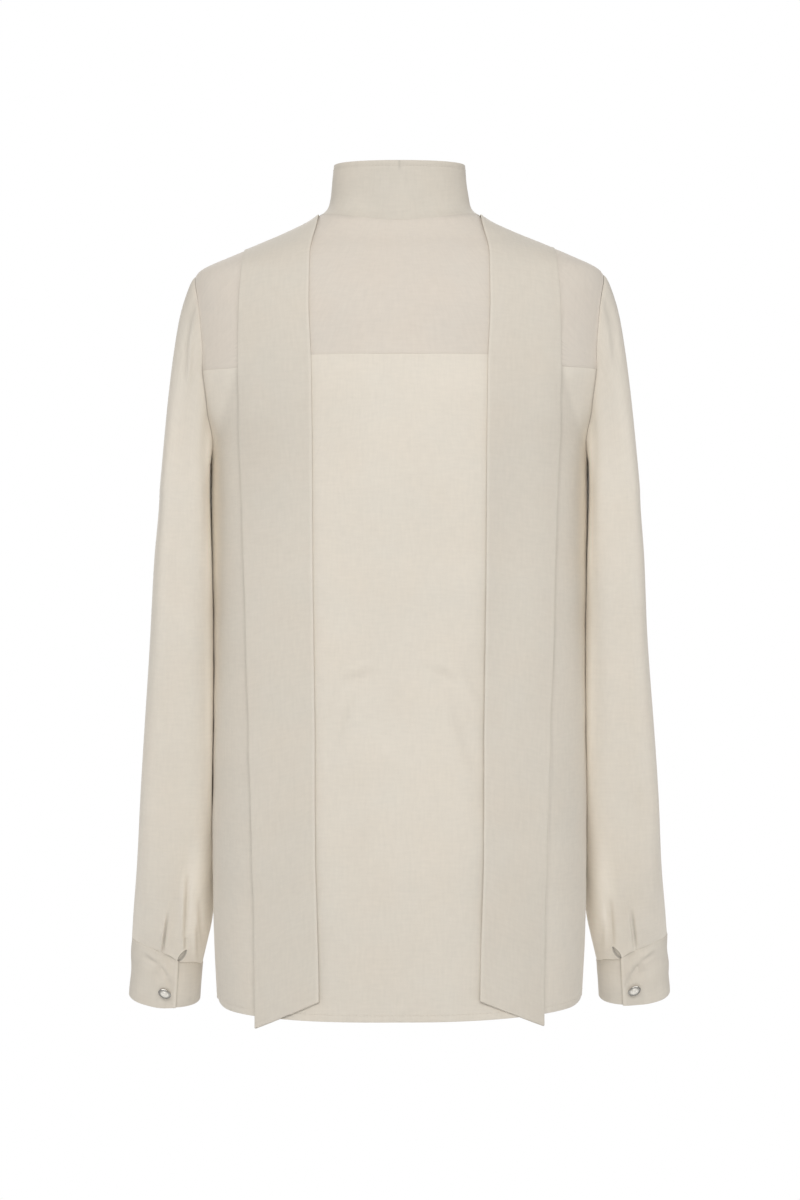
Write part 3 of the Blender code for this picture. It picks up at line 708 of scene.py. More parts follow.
def grid_of(surface, columns, rows, pace=EVEN, row_pace=EVEN):
    """The surface's points in rows and columns. The paces say where they stand closer."""
    u = np.interp(np.linspace(0, 1, columns + 1), *pace)
    return surface(*np.meshgrid(u, np.interp(np.linspace(0, 1, rows + 1), *row_pace)))


def eased(p, row, reach, passes):
    """The grid with its rows near this one blurred into each other, so that a corner there turns soft."""
    weight = bump(np.arange(len(p)), row, reach)[1:-1, None, None]
    for _ in range(passes):
        blurred = (p[:-2] + 2 * p[1:-1] + p[2:]) / 4
        p = np.concatenate([p[:1], lerp(p[1:-1], blurred, weight), p[-1:]])
    return p


def curled(p):
    """The points with the lower corners beside the side seams curling in a little."""
    share = rise(-p[..., 2], *HEM_CURL_DROP) * rise(np.abs(p[..., 0]), *HEM_CURL_X)
    return p - points(HEM_CURL * share * np.sign(p[..., 0]), 0, 0)


def settled(p):
    """The points with the left shoulder a little low and the right side of the hem a little high."""
    x, z = p[..., 0], p[..., 2]
    drop = LEFT_SHOULDER_DROP * rise(x, *LEFT_SHOULDER_X) * rise(z, *LEFT_SHOULDER_Z)
    lift = RIGHT_HEM_LIFT * rise(-x, *RIGHT_HEM_X) * rise(-z, *RIGHT_HEM_DROP)
    return p + points(0, 0, lift - drop)


def normals_of(p, flip=False):
    across = np.gradient(p, axis=1)
    down = np.gradient(p, axis=0)
    found = unit(np.cross(across, down))
    return -found if flip else found


def arc(lines):
    """Length along each line of the grid's first axis, from its start."""
    steps = lengths(np.diff(lines, axis=0))[..., 0]
    return np.concatenate([np.zeros((1, lines.shape[1])), np.cumsum(steps, axis=0)])


def from_end(p):
    """Distance from the last row of the grid."""
    return arc(p[::-1])[::-1]


def from_sides(p):
    """Distance from the nearer side edge of the grid."""
    across = arc(p.swapaxes(0, 1)).T
    return np.minimum(across, across[:, -1:] - across)


def along_lines(lines, distance, values=None):
    """The points (or other values) this far along each line of the grid's first axis."""
    s, values = arc(lines), lines if values is None else values
    columns = range(lines.shape[1])
    return np.array([[np.interp(distance, s[:, c], values[:, c, k]) for k in range(3)] for c in columns])


TURNED_STEP = 6
ROLL_TURNS = (0, 22.5, 45, 67.5, 90)
FOLD_TURNS = (0, 30, 60, 90, 120, 150, 180)


def rolled(p, n, tone, radius, tuck, turned=0.0):
    """The grid with its first row rolled in over a small radius, then tucked in or turned back under."""
    rows = []
    for angle in np.radians(FOLD_TURNS if turned else ROLL_TURNS):
        spot = along_lines(p, radius * (1 - math.sin(angle)))
        rows.append(spot - n[0] * radius * (1 - math.cos(angle)))
    for step in range(math.ceil(turned / TURNED_STEP)):
        width = min((step + 1) * TURNED_STEP, turned)
        rows.append(along_lines(p, width) - unit(along_lines(p, width, n)) * 2 * radius)
    if tuck:
        rows.append(rows[-1] - n[0] * tuck)
    count = len(rows)
    return (
        np.concatenate([np.array(rows[::-1]), p[1:]]),
        np.concatenate([np.repeat(n[:1], count, axis=0), n[1:]]),
        np.concatenate([np.repeat(tone[:1], count, axis=0), tone[1:]]),
    )


def with_edges(p, n, tone, top=None, bottom=None, first=None, last=None):
    """The grid with each named edge rolled in. An edge is its radius, its tuck and the width turned under."""
    tone = np.broadcast_to(tone, p.shape[:2])
    for edge, axis, end in ((top, 0, 0), (bottom, 0, 1), (first, 1, 0), (last, 1, 1)):
        if edge is None:
            continue
        grids = [np.swapaxes(grid, 0, axis) for grid in (p, n, tone)]
        if end:
            grids = [grid[::-1] for grid in grids]
        grids = rolled(*grids, *edge)
        if end:
            grids = [grid[::-1] for grid in grids]
        p, n, tone = (np.swapaxes(grid, 0, axis) for grid in grids)
    return p, n, tone


CREASE_END_SHARE = 0.04
CREASE_TAPER_POWER = 0.8
RIDGE_OFFSET = 1.7
RIDGE_SHARPNESS = 0.8


def crease(x, z, start, end, width, depth, ridge=0.5):
    """Height of one crease: a trough from start to end, fading at both, with a soft ridge at its left."""
    start, end = np.array(start, float), np.array(end, float)
    along = end - start
    size = np.linalg.norm(along)
    along /= size
    dx, dz = x - start[0], z - start[1]
    t = (dx * along[0] + dz * along[1]) / size
    off = (dx * along[1] - dz * along[0]) / width
    place = np.clip(lerp(CREASE_END_SHARE, 1 - CREASE_END_SHARE, t), 0, 1)
    taper = np.clip(np.sin(np.pi * place), 0, 1) ** CREASE_TAPER_POWER
    taper = np.where((t < -CREASE_END_SHARE) | (t > 1 + CREASE_END_SHARE), 0, taper)
    ridge_form = np.exp(-((off - RIDGE_OFFSET) ** 2) * RIDGE_SHARPNESS)
    return depth * taper * (ridge * ridge_form - bell(off, 1))


def fold_shade_line(x, z, start, end, width, tone):
    """Painted shade of a thin line along a fold, from start to end, fading at both."""
    return -crease(x, z, start, end, width, tone, 0)


def slit(x, z):
    """Height and tone of the leaf-shaped slit at the sleeve's end, in the left sleeve's x and z. The height
    sinks a shallow hollow and raises its lip; the tone is painted shadow along its outline, painted shade in
    its hollow and a painted highlight on its lip.
    """
    way = np.subtract(SLIT_TIP, SLIT_FOOT)
    size = math.hypot(*way)
    along = ((x - SLIT_FOOT[0]) * way[0] + (z - SLIT_FOOT[1]) * way[1]) / size**2
    across = ((x - SLIT_FOOT[0]) * way[1] - (z - SLIT_FOOT[1]) * way[0]) / size
    inside = np.clip(along, 0, 1)
    half_width = SLIT_HALF_WIDTH * np.sin(np.pi * inside) ** SLIT_ROUNDNESS
    edge = np.hypot(across, (along - inside) * size) - half_width
    hollow = rise(-edge, *SLIT_HOLLOW)
    shaded = lerp(SLIT_LIT_SHARE, 1, rise(across, *SLIT_SHADED_SIDE))
    outline = bell(edge, SLIT_OUTLINE_WIDTH) * shaded
    lip = bell(edge - SLIT_LIP_OFFSET, SLIT_LIP_WIDTH)
    tone = sum(share * form for share, form in zip(SLIT_SHADE_AND_HIGHLIGHT, (outline, hollow, lip)))
    return SLIT_LIP_RISE * lip - SLIT_DEPTH * hollow, tone


def swell(x, z, centre, reach, height):
    """A soft mound (or a hollow, where height is below 0)."""
    return height * bell(x - centre[0], reach[0]) * bell(z - centre[1], reach[1])


def painted(rows, **measures):
    """The sum of the rows' values, each only where its measures say.

    A pair is the span of a measure over which the value comes in, and a number is the width of a line along
    which the measure is 0. A spot is the centre and reach of a mound.
    """
    total = 0
    for value, where in rows:
        for name, span in where.items():
            if name == "spot":
                value = swell(measures["x"], measures["z"], *span, value)
            elif isinstance(span, tuple):
                value = value * rise(measures[name], *span)
            else:
                value = value * bell(measures[name], span)
        total = total + value
    return total


WAVES = 7
WAVE_SIZES = (0.6, 1.7)


def ripples(a, b, seed, size):
    """Slow, uneven waves between about -1 and 1 over a piece whose places are a and b, in millimetres."""
    draw = np.random.default_rng(seed)
    total = np.zeros(np.broadcast(a, b).shape)
    for _ in range(WAVES):
        turn, phase = draw.uniform(0, 2 * math.pi, 2)
        pace = 2 * math.pi / (size * draw.uniform(*WAVE_SIZES))
        total += np.sin((a * math.cos(turn) + b * math.sin(turn)) * pace + phase)
    return total / 3


# ---------------------------------------------------------------- making a piece


def add_cloth(name, p, thickness, slot_name, tone, flip=False, closed=False):
    """A thin shell over a grid of points, with its UV map in metres and its tone at each point, which holds
    painted light and shade as well as random drifts of tone.
    """
    rows, columns = p.shape[:2]
    work = bmesh.new()
    bmesh.ops.create_grid(work, x_segments=columns - 1, y_segments=rows - 1, size=0.5)
    spots = settled(p).reshape(-1, 3) * MILLIMETRE
    for vertex, spot in zip(work.verts, spots):
        vertex.co = spot
    across = arc(p.swapaxes(0, 1))[:, rows // 2] * MILLIMETRE
    down = arc(p)[:, columns // 2] * MILLIMETRE
    layer = work.loops.layers.uv.new("Cloth")
    for face in work.faces:
        for loop in face.loops:
            row, column = divmod(loop.vert.index, columns)
            loop[layer].uv = (across[column], down[row])
    shade = work.verts.layers.float.new("Tone")
    for vertex, value in zip(work.verts, tone.ravel()):
        vertex[shade] = value
    if closed:
        bmesh.ops.remove_doubles(work, verts=work.verts, dist=0.01 * MILLIMETRE)
    if flip:
        bmesh.ops.reverse_faces(work, faces=work.faces)
    piece = add_mesh(name, work, finish(f"{slot_name}_crepe"))
    wall = piece.modifiers.new("Wall", "SOLIDIFY")
    wall.thickness = thickness * MILLIMETRE
    wall.offset = -1
    wall.use_even_offset = False
    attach(piece, "root")
    return piece


STITCH_PITCH = 3.0
STITCH_LENGTH = 2.1
STITCH_WIDTH = 0.34
STITCH_RISE = 0.04


def seam_line(p, n, distance, end=False, across=False):
    """Points and normals of a line this far in from one edge of the grid."""
    grids = [np.swapaxes(grid, 0, 1) if across else grid for grid in (p, n)]
    if end:
        grids = [grid[::-1] for grid in grids]
    return along_lines(grids[0], distance), unit(along_lines(grids[0], distance, grids[1]))


def sew(name, *seams):
    """Thread dashes of one even length along each line of points and normals."""
    work = bmesh.new()
    for spots, normals in seams:
        spots = settled(spots)
        distance = arc(spots[:, None])[:, 0]
        for middle in np.arange(STITCH_PITCH / 2, distance[-1], STITCH_PITCH):
            places = middle - STITCH_LENGTH / 2, middle, middle + STITCH_LENGTH / 2
            at = np.array([[np.interp(s, distance, spots[:, k]) for k in range(3)] for s in places])
            up = unit(np.array([np.interp(middle, distance, normals[:, k]) for k in range(3)]))
            along = unit(at[2] - at[0])
            side = unit(np.cross(up, along))
            turned = Matrix(np.stack([side, up, along], axis=-1).tolist()).to_4x4()
            turned.translation = (at[1] + up * STITCH_RISE) * MILLIMETRE
            radius = STITCH_WIDTH / 2 * MILLIMETRE
            size = {"radius1": radius, "radius2": radius, "depth": STITCH_LENGTH * MILLIMETRE}
            bmesh.ops.create_cone(work, cap_ends=True, segments=6, matrix=turned, **size)
    piece = add_mesh(name, work, finish("silk_thread"))
    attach(piece, "root")


def add_mesh(name, work, material):
    mesh = bpy.data.meshes.new(name)
    work.to_mesh(mesh)
    work.free()
    mesh.materials.append(material)
    mesh.shade_smooth()
    piece = bpy.data.objects.new(name, mesh)
    bpy.context.scene.collection.objects.link(piece)
    return piece


# ---------------------------------------------------------------- finishes


class Value:
    """A number that varies over a surface. A sum written with it adds Math nodes."""

    def __init__(self, shader, socket):
        self.shader, self.socket = shader, socket

    def math(self, operation, *values):
        return self.shader.node("ShaderNodeMath", {"operation": operation}, *values)

    def __add__(self, other):
        return self.math("ADD", self, other)

    def __sub__(self, other):
        return self.math("SUBTRACT", self, other)

    def __rsub__(self, other):
        return self.math("SUBTRACT", other, self)

    def __mul__(self, other):
        return self.math("MULTIPLY", self, other)

    __radd__, __rmul__ = __add__, __mul__


class Finish:
    """A Principled material, and the nodes that give it its surface."""

    def __init__(self, name, **constants):
        self.material = bpy.data.materials.new(name)
        self.material.use_nodes = True
        self.tree = self.material.node_tree
        self.surface = self.tree.nodes["Principled BSDF"]
        for socket, value in constants.items():
            self.surface.inputs[socket.replace("_", " ")].default_value = value

    def node(self, kind, settings=None, *values, output=0, **named):
        """Adds a node. Its settings are set first, then its sockets in order, then its named sockets."""
        made = self.tree.nodes.new(kind)
        for setting, value in (settings or {}).items():
            setattr(made, setting, value)
        sockets = list(enumerate(values)) + [(key.replace("_", " "), v) for key, v in named.items()]
        for socket, value in sockets:
            self.feed(made.inputs[socket], value)
        return Value(self, made.outputs[output])

    def feed(self, socket, value):
        if isinstance(value, Value):
            self.tree.links.new(value.socket, socket)
        elif value is not None:
            socket.default_value = value

    def mix(self, factor, start, end):
        """The colour between two colours."""
        made = self.node("ShaderNodeMix", {"data_type": "RGBA"}, output=2)
        inputs = made.socket.node.inputs
        self.feed(inputs[0], factor)
        self.feed(inputs[6], start if isinstance(start, Value) else (*start, 1))
        self.feed(inputs[7], end if isinstance(end, Value) else (*end, 1))
        return made

    def place(self, output="Object"):
        return self.node("ShaderNodeTexCoord", output=output)

    def tone(self):
        """The tone that each piece holds at its points: painted light and shade, and random drifts of tone.
        """
        return self.node("ShaderNodeAttribute", {"attribute_name": "Tone"}, output="Fac")

    def noise(self, place, scale, detail=2.0):
        return self.node("ShaderNodeTexNoise", None, Vector=place, Scale=scale, Detail=detail)

    def bands(self, place, way, scale, distortion):
        settings = {"wave_type": "BANDS", "bands_direction": way}
        sizes = {"Scale": scale, "Distortion": distortion, "Detail_Scale": 3.0}
        return self.node("ShaderNodeTexWave", settings, Vector=place, **sizes)

    def stretched(self, place, scale):
        return self.node("ShaderNodeVectorMath", {"operation": "MULTIPLY"}, place, scale)

    def scaled(self, color, factor):
        made = self.node("ShaderNodeVectorMath", {"operation": "SCALE"}, color)
        self.feed(made.socket.node.inputs["Scale"], factor)
        return made

    def set(self, **sockets):
        for socket, value in sockets.items():
            self.feed(self.surface.inputs[socket.replace("_", " ")], value)
        return self.material

    def bump(self, height, strength, distance):
        return self.node("ShaderNodeBump", None, Height=height, Strength=strength, Distance=distance)


def tinted(color, red, green, blue):
    return (color[0] * red, color[1] * green, color[2] * blue)


def crepe(name, color):
    """Matt silk crepe: a fine pebbled weave with uneven threads and slow, faint drifts of tone, darkened and
    lightened by the painted shade and light in each piece's tone.
    """
    cloth = Finish(name, Sheen_Weight=0.12, Sheen_Roughness=0.45, Specular_IOR_Level=0.28)
    flat, tone = cloth.place("UV"), cloth.tone()
    drift = cloth.noise(cloth.place(), 26, 3)
    drifting = cloth.mix(drift, tinted(color, 1.015, 0.998, 0.982), tinted(color, 0.985, 1.003, 1.016))
    pebble = cloth.noise(flat, 1900, 2)
    threads, weft = cloth.bands(flat, "X", 520, 2.2), cloth.bands(flat, "Y", 430, 2.6)
    long_slubs = cloth.noise(cloth.stretched(flat, (420, 70, 1)), 1, 2)
    slub = long_slubs + cloth.noise(cloth.stretched(flat, (90, 380, 1)), 1, 2)
    grain = pebble * 0.6 + threads * 0.2 + weft * 0.2
    # The tone paints shade and light into the weave's colour, and tints it a little cooler where it paints
    # light
    level = 1 + tone + (slub - 1) * 0.075 + (grain - 0.5) * -0.09
    lit = cloth.mix(tone * 1.8, drifting, tinted(color, 0.965, 1.0, 1.05))
    return cloth.set(
        Base_Color=cloth.scaled(lit, level),
        Roughness=0.56 + drift * 0.08 + grain * 0.1,
        Normal=cloth.bump(grain + slub * 0.5, 0.35, 0.00012),
    )


def silver(name, color):
    """Polished silver, darkened towards its rim by the painted shade in its tone."""
    metal = Finish(name, Coat_Weight=0.3)
    wear, tone = metal.noise(metal.place(), 500, 3), metal.tone()
    return metal.set(
        Base_Color=metal.scaled(metal.mix(wear, color, tinted(color, 0.94, 0.93, 0.91)), 1 + tone),
        Metallic=0.35 - tone,
        Roughness=0.24 + wear * 0.06,
        Normal=metal.bump(wear, 0.05, 0.00003),
    )


def thread_finish(name, color):
    yarn = Finish(name, Sheen_Weight=0.1, Specular_IOR_Level=0.35)
    twist = yarn.noise(yarn.place(), 5200, 1)
    return yarn.set(
        Base_Color=yarn.mix(twist, tinted(color, 1.03, 1.03, 1.03), tinted(color, 0.88, 0.88, 0.88)),
        Roughness=0.5 + twist * 0.15,
    )


FINISHES = {
    # name: (how it is made, its colour in the panel)
    "silk_body_crepe": (crepe, "body"),
    "silk_yoke_crepe": (crepe, "yoke"),
    "silk_trim_crepe": (crepe, "trim"),
    "silk_thread": (thread_finish, "thread"),
    "polished_silver": (silver, "silver"),
}


def finish(name):
    """The material of that name, made on first use with the colours set in the panel."""
    if name not in bpy.data.materials:
        make, setting = FINISHES[name]
        make(name, getattr(bpy.context.scene.blouse_colors, setting))
    return bpy.data.materials[name]


# ---------------------------------------------------------------- pieces


SIDES = ((1, "left"), (-1, "right"))
SIDE_FADE = (0, 9)
TIE_SHADOW_OFFSET = 1.4
DRIFT_TONE = 0.006


def raised(p, n, height, sizes):
    """The points moved out by a height, at the depth of creases set in the panel."""
    return p + n * (height * sizes.crease)[..., None]


def faded(p, height):
    """The height with nothing left of it at the side edges, where the piece is sewn to others."""
    return height * rise(from_sides(p), *SIDE_FADE)


def from_tie(x, z):
    """Distance from the thin shadow beside a tie's outer edge."""
    return np.abs(x) - TIE_BACK.column("outer_x", z) - TIE_SHADOW_OFFSET


YOKE_LIGHT_AND_SHADE_PATCHES = (
    # centre, reach, tone of soft patches of painted light and shade
    ((58, -108), (20, 26), -0.02),
    ((-58, -108), (20, 26), -0.02),
    ((0, -40), (46, 30), 0.012),
    ((0, -122), (34, 9), 0.018),
    ((150, -88), (26, 30), -0.015),
    ((-150, -88), (26, 30), -0.015),
)
YOKE_LIGHT_AND_SHADE_LINES = (
    # tone, where: painted shade along the neckline and the yoke seam, painted light along the armhole edge,
    # and the tie's painted shadow
    (-0.025, {"from_neck": 1.1}),
    (-0.095, {"from_neck": 1.1, "out": (30, 44)}),
    (0.08, {"from_sleeve": 2, "out": (160, 168)}),
    (-0.04, {"from_seam": 0.8}),
    (-0.07, {"from_tie": 1.3, "down": (30, 60)}),
)
# Painted shade along a fold beside the neck: start, end, width, tone
YOKE_NECK_FOLD = ((68.5, 6), (76, -30), 1.5, -0.16)
YOKE_SEAM_RISE = 0.9
YOKE_WAVE = 0.3


def make_yoke(sizes):
    p = grid_of(yoke_surface, columns=150, rows=46)
    n = normals_of(p, True)
    x, y, z = p[..., 0], p[..., 1], p[..., 2]
    p = raised(p, n, faded(p, YOKE_WAVE * ripples(x, z + y, seed=3, size=90)), sizes)
    tone = sum(swell(x, z, *row) for row in YOKE_LIGHT_AND_SHADE_PATCHES)
    tone = tone + fold_shade_line(np.abs(x), z, *YOKE_NECK_FOLD)
    tone = tone + painted(
        YOKE_LIGHT_AND_SHADE_LINES,
        out=np.abs(x),
        down=-z,
        from_neck=arc(p),
        from_sleeve=from_end(p),
        from_seam=z - yoke_seam_z(x) - YOKE_SEAM_RISE,
        from_tie=from_tie(x, z),
    )
    tone = tone * (y > 0)
    edges = {"top": (0.15, 1.6), "bottom": (0.08, 1.8), "first": (0.1, 1.6), "last": (0.1, 1.6)}
    p, n, tone = with_edges(p, n, tone, **edges)
    piece = add_cloth("yoke_cloth", p, 2 * sizes.cloth, "silk_yoke", tone, True)
    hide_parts("back_yoke")


BACK_CREASES = (
    # start, end, width, depth, ridge
    ((50.4, -405.5), (21, -396), 3.2, 1.2, 0.8),
    ((-23, -391), (-49, -405), 3.2, 1.1, 0.8),
    ((38, -416), (56, -474), 3.2, 1.7, 0.8),
    ((50, -408), (66, -444), 3, 1.1, 0.7),
    ((-42, -420), (-62, -484), 3.2, 1.8, -0.8),
    ((-54, -394), (-70, -424), 3, 1.1, -0.7),
    ((24, -520), (40, -570), 8, 1.1, 0.5),
    ((12, -410), (-4, -470), 13, 0.9, 0.4),
    ((134, -146), (158, -214), 9, 1.8, 0.5),
    ((-140, -150), (-156, -196), 9, 1.8, -0.5),
)
# Painted shade along the first seven creases, as a share of each one's depth
SHADED_BACK_CREASES = BACK_CREASES[:7]
BACK_CREASE_SHADE = -0.018
BACK_SWELLS = (
    # centre, reach, height
    ((52, -158), (26, 24), 1.7),
    ((-52, -158), (26, 24), 1.7),
    ((0, -175), (20, 46), -1.3),
)
BACK_LIGHT_AND_SHADE_PATCHES = (
    # centre, reach, tone of soft patches of painted light and shade
    ((55, -170), (32, 60), -0.022),
    ((-50, -150), (22, 16), 0.012),
    ((0, -160), (12, 40), -0.006),
    ((152, -158), (14, 32), -0.055),
    ((-152, -158), (14, 32), -0.055),
    ((32, -660), (60, 60), -0.012),
)
BACK_SEAM_FADE = (-1, 14)
BACK_LOOSE_Z = (160, 420)
WAVE_LONG, WAVE_SHORT = 1.2, 0.45
BACK_LIGHT_AND_SHADE_LINES = (
    # tone, where; all are painted light and shade. The first two are the painted shade on the strip between a
    # tie and a sleeve, which ends at a slanting line and fades towards the hem; then come painted light
    # beside the sleeve, painted shade towards the hem, the tie's painted shadow and painted shade along the
    # armhole edge
    (-0.095, {"out": (114, 128), "before_slant": (-2.5, 4.5)}),
    (0.0855, {"out": (114, 128), "before_slant": (-2.5, 4.5), "down": (480, 650)}),
    (0.17, {"from_sleeve": 7, "down": (185, 230), "up": (-500, -380)}),
    (0.11, {"from_sleeve": 7, "down": (185, 230), "up": (-560, -440)}),
    (-0.05, {"down": (440, 640)}),
    (-0.07, {"from_tie": 1.3}),
    (-0.3, {"from_side": 1, "up": (-230, -190)}),
)
STRIP_END_X, STRIP_END_SLOPE, STRIP_TOP_Z = 139.5, 0.33, -136
BESIDE_SLEEVE_X = 164


def slow_waves(x, z, long_seed, short_seed):
    """Long waves that run down hanging cloth, and shorter ones over them."""
    long = ripples(x, z * 0.16, long_seed, size=95)
    return WAVE_LONG * long + WAVE_SHORT * ripples(x, z, short_seed, size=60)


def back_height(x, z):
    """How far the back stands off its form: creases, swells and slow waves."""
    height = sum(crease(x, z, *row) for row in BACK_CREASES)
    height = height + sum(swell(x, z, *row) for row in BACK_SWELLS)
    height = height * rise(yoke_seam_z(x) - z, *BACK_SEAM_FADE)
    return height + rise(-z, *BACK_LOOSE_Z) * slow_waves(x, z, 11, 12)


def make_back(sizes):
    p = grid_of(back_surface, columns=150, rows=190)
    n = normals_of(p, True)
    x, z = p[..., 0], p[..., 2]
    p = curled(raised(p, n, faded(p, back_height(x, z)), sizes))
    slant = STRIP_END_X + STRIP_END_SLOPE * np.maximum(STRIP_TOP_Z - z, 0)
    tone = painted(
        BACK_LIGHT_AND_SHADE_LINES,
        out=np.abs(x),
        up=z,
        down=-z,
        before_slant=slant - np.abs(x),
        from_sleeve=np.abs(x) - BESIDE_SLEEVE_X,
        from_tie=from_tie(x, z),
        from_side=from_sides(p),
    )
    tone = tone + sum(swell(x, z, *row) for row in BACK_LIGHT_AND_SHADE_PATCHES)
    tone = tone + sum(fold_shade_line(x, z, *row[:3], BACK_CREASE_SHADE * row[3]) for row in SHADED_BACK_CREASES)
    tone = tone + DRIFT_TONE * ripples(x, z * 0.4, seed=13, size=70)
    sew("back_hem_stitches", seam_line(p, n, HEM_STITCH_RISE, end=True))
    edges = {"top": (0.08, 1.8), "bottom": HEM_EDGE, "first": (0.08, 1.6), "last": (0.08, 1.6)}
    p, n, tone = with_edges(p, n, tone, **edges)
    piece = add_cloth("back_cloth", p, sizes.cloth, "silk_body", tone, True)
    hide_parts("back_panel")


FRONT_CREASES = (
    # start, end, width, depth, on the left front
    ((60, -150), (95, -250), 8, 1.8),
    ((40, -400), (90, -430), 5, 1.5),
    ((52, -425), (80, -500), 7, 2.0),
    ((140, -190), (120, -290), 10, 2.2),
    ((118, -600), (126, -500), 12, 1.6),
)
FRONT_CREASE_SHIFT = 9
FRONT_LOOSE_Z = (150, 420)
FRONT_STILL_X = 30


def make_fronts(sizes):
    left = grid_of(front_surface, columns=96, rows=200)
    for side, label in SIDES:
        p = mirrored(left, side)
        n = normals_of(p, side < 0)
        x, z = p[..., 0], p[..., 2]
        loose = rise(-z, *FRONT_LOOSE_Z) * np.clip(np.abs(x) / FRONT_STILL_X, 0, 1)
        height = loose * slow_waves(x, z, 20 + side, 24 + side)
        for row in FRONT_CREASES:
            height = height + crease(np.abs(x), z + FRONT_CREASE_SHIFT * side, *row)
        p = curled(raised(p, n, faded(p, height), sizes))
        tone = DRIFT_TONE * ripples(x, z * 0.4, seed=26 + side, size=70)
        sew(f"front_hem_stitches_{label}", seam_line(p, n, HEM_STITCH_RISE, end=True))
        edges = {"top": (0.3, 1.8), "bottom": HEM_EDGE, "first": (0.3, 1.6), "last": (0.2, 1.6)}
        p, n, tone = with_edges(p, n, tone, **edges)
        piece = add_cloth(f"front_cloth_{label}", p, sizes.cloth, "silk_body", tone, side < 0)
        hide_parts(f"front_{label}")


PLACKET_LAYERS = 1.6
PLACKET_STITCH_INSET = 2


def make_placket(sizes):
    p = grid_of(placket_surface, columns=10, rows=190)
    n = normals_of(p, True)
    seams = [seam_line(p, n, PLACKET_STITCH_INSET, end, across=True) for end in (False, True)]
    sew("placket_stitches", *seams)
    edges = {"top": (0.4, 0.4), "bottom": (0.4, 0.4), "first": (0.5, 0.6), "last": (0.5, 0.6)}
    p, n, tone = with_edges(p, n, 0, **edges)
    piece = add_cloth("placket_cloth", p, PLACKET_LAYERS * sizes.cloth, "silk_body", tone, True)
    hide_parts("front_placket")


COLLAR_STITCH_DROP = 4.6
COLLAR_LINES = (
    # height, tone, where: the stitched groove below the rim, and the join up the centre back; the tone is
    # painted shade in both
    (-0.3, -0.04, {"from_stitches": 0.9, "back": (0, 20)}),
    (-0.35, -0.12, {"from_centre": 0.8, "back": (0, 20), "above_foot": (-10, -6)}),
)
COLLAR_WAVE = 0.5
COLLAR_WAVE_REACH = 22
COLLAR_TONE = -0.052
COLLAR_DRIFT_TONE = 0.012


def make_collar(sizes):
    p = grid_of(collar_surface, columns=180, rows=46)
    n = normals_of(p)
    x, y, z = p[..., 0], p[..., 1], p[..., 2]
    from_rim = lerp(RIM_SIDE_Z, RIM_BACK_Z, bump(x, 0, RIM_HALF_WIDTH)) - z
    from_stitches = from_rim - COLLAR_STITCH_DROP
    lines = {"back": y, "from_centre": x, "above_foot": -from_rim, "from_stitches": from_stitches}
    waves = COLLAR_WAVE * ripples(x, z, seed=50, size=46)
    waves = waves * bump(from_rim, COLLAR_WAVE_REACH, COLLAR_WAVE_REACH)
    heights = [(height, where) for height, _, where in COLLAR_LINES]
    p = raised(p, n, waves + painted(heights, **lines), sizes)
    sew("collar_stitches", seam_line(p, n, COLLAR_STITCH_DROP, end=True))
    tone = COLLAR_TONE + COLLAR_DRIFT_TONE * ripples(x, z, seed=51, size=40)
    tone = tone + painted([row[1:] for row in COLLAR_LINES], **lines)
    edges = {"top": (0.2, 1.6), "bottom": (0.6, 0, 34), "first": (0.4, 0.6), "last": (0.4, 0.6)}
    p, n, tone = with_edges(p, n, tone, **edges)
    piece = add_cloth("collar_cloth", p, sizes.cloth, "silk_trim", tone)
    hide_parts("collar")


TIE_WIDTH = 64
TIE_SIDE_PACE = 0.055
TIE_EDGE_INSET = 0.9
TIE_EDGE_WIDTH = 1.1
TIE_EDGE_RISE = 0.35
# Painted highlight along each tie's inner edge and painted shade along its outer edge
TIE_EDGE_HIGHLIGHT_AND_SHADE = (0.07, -0.028)
TIE_HANG_Z = (60, 300)
TIE_WAVES = (0.7, 0.3)
TIE_LOWEST = -0.15
TIE_FULLNESS = 0.25
TIE_DRIFT_TONE = 0.012
TIE_SHADES = ((-0.03, {"up": (-330, -200)}), (-0.03, {"down": (480, 620)}))


def make_ties(sizes):
    share = np.linspace(0, 1, 11)
    pace = (share, share - TIE_SIDE_PACE * np.sin(2 * math.pi * share))
    left = grid_of(tie_surface, columns=30, rows=300, pace=pace)
    for side, label in SIDES:
        p = mirrored(left, side)
        n = normals_of(p, side < 0)
        z = p[..., 2]
        across = arc(p.swapaxes(0, 1)).T
        u = across * TIE_WIDTH / across[:, -1:]
        hanging = rise(-z, *TIE_HANG_Z) * (p[..., 1] > 0)
        waves = TIE_WAVES[0] * ripples(u * 0.35, z, seed=30 + side, size=190)
        waves = hanging * (waves + TIE_WAVES[1] * ripples(u, z * 0.3, seed=33 + side, size=60))
        fullness = TIE_FULLNESS * hanging * bump(u, TIE_WIDTH / 2, TIE_WIDTH / 2)
        height = np.maximum(waves, TIE_LOWEST) + fullness
        band = bell(np.minimum(u, TIE_WIDTH - u) - TIE_EDGE_INSET, TIE_EDGE_WIDTH)
        p = raised(p, n, height + TIE_EDGE_RISE * band, sizes)
        tone = band * np.where(u < TIE_WIDTH / 2, *TIE_EDGE_HIGHLIGHT_AND_SHADE) + painted(TIE_SHADES, up=z, down=-z)
        tone = tone + TIE_DRIFT_TONE * ripples(u * 0.7, z * 0.25, seed=36 + side, size=60)
        edges = {"top": (0.3, 0.4), "bottom": (0.45, 0.6), "first": (0.45, 0, 29), "last": (0.45, 0, 29)}
        p, n, tone = with_edges(p, n, tone, **edges)
        piece = add_cloth(f"tie_cloth_{label}", p, sizes.cloth, "silk_trim", tone, side < 0)
        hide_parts(f"tie_{label}")


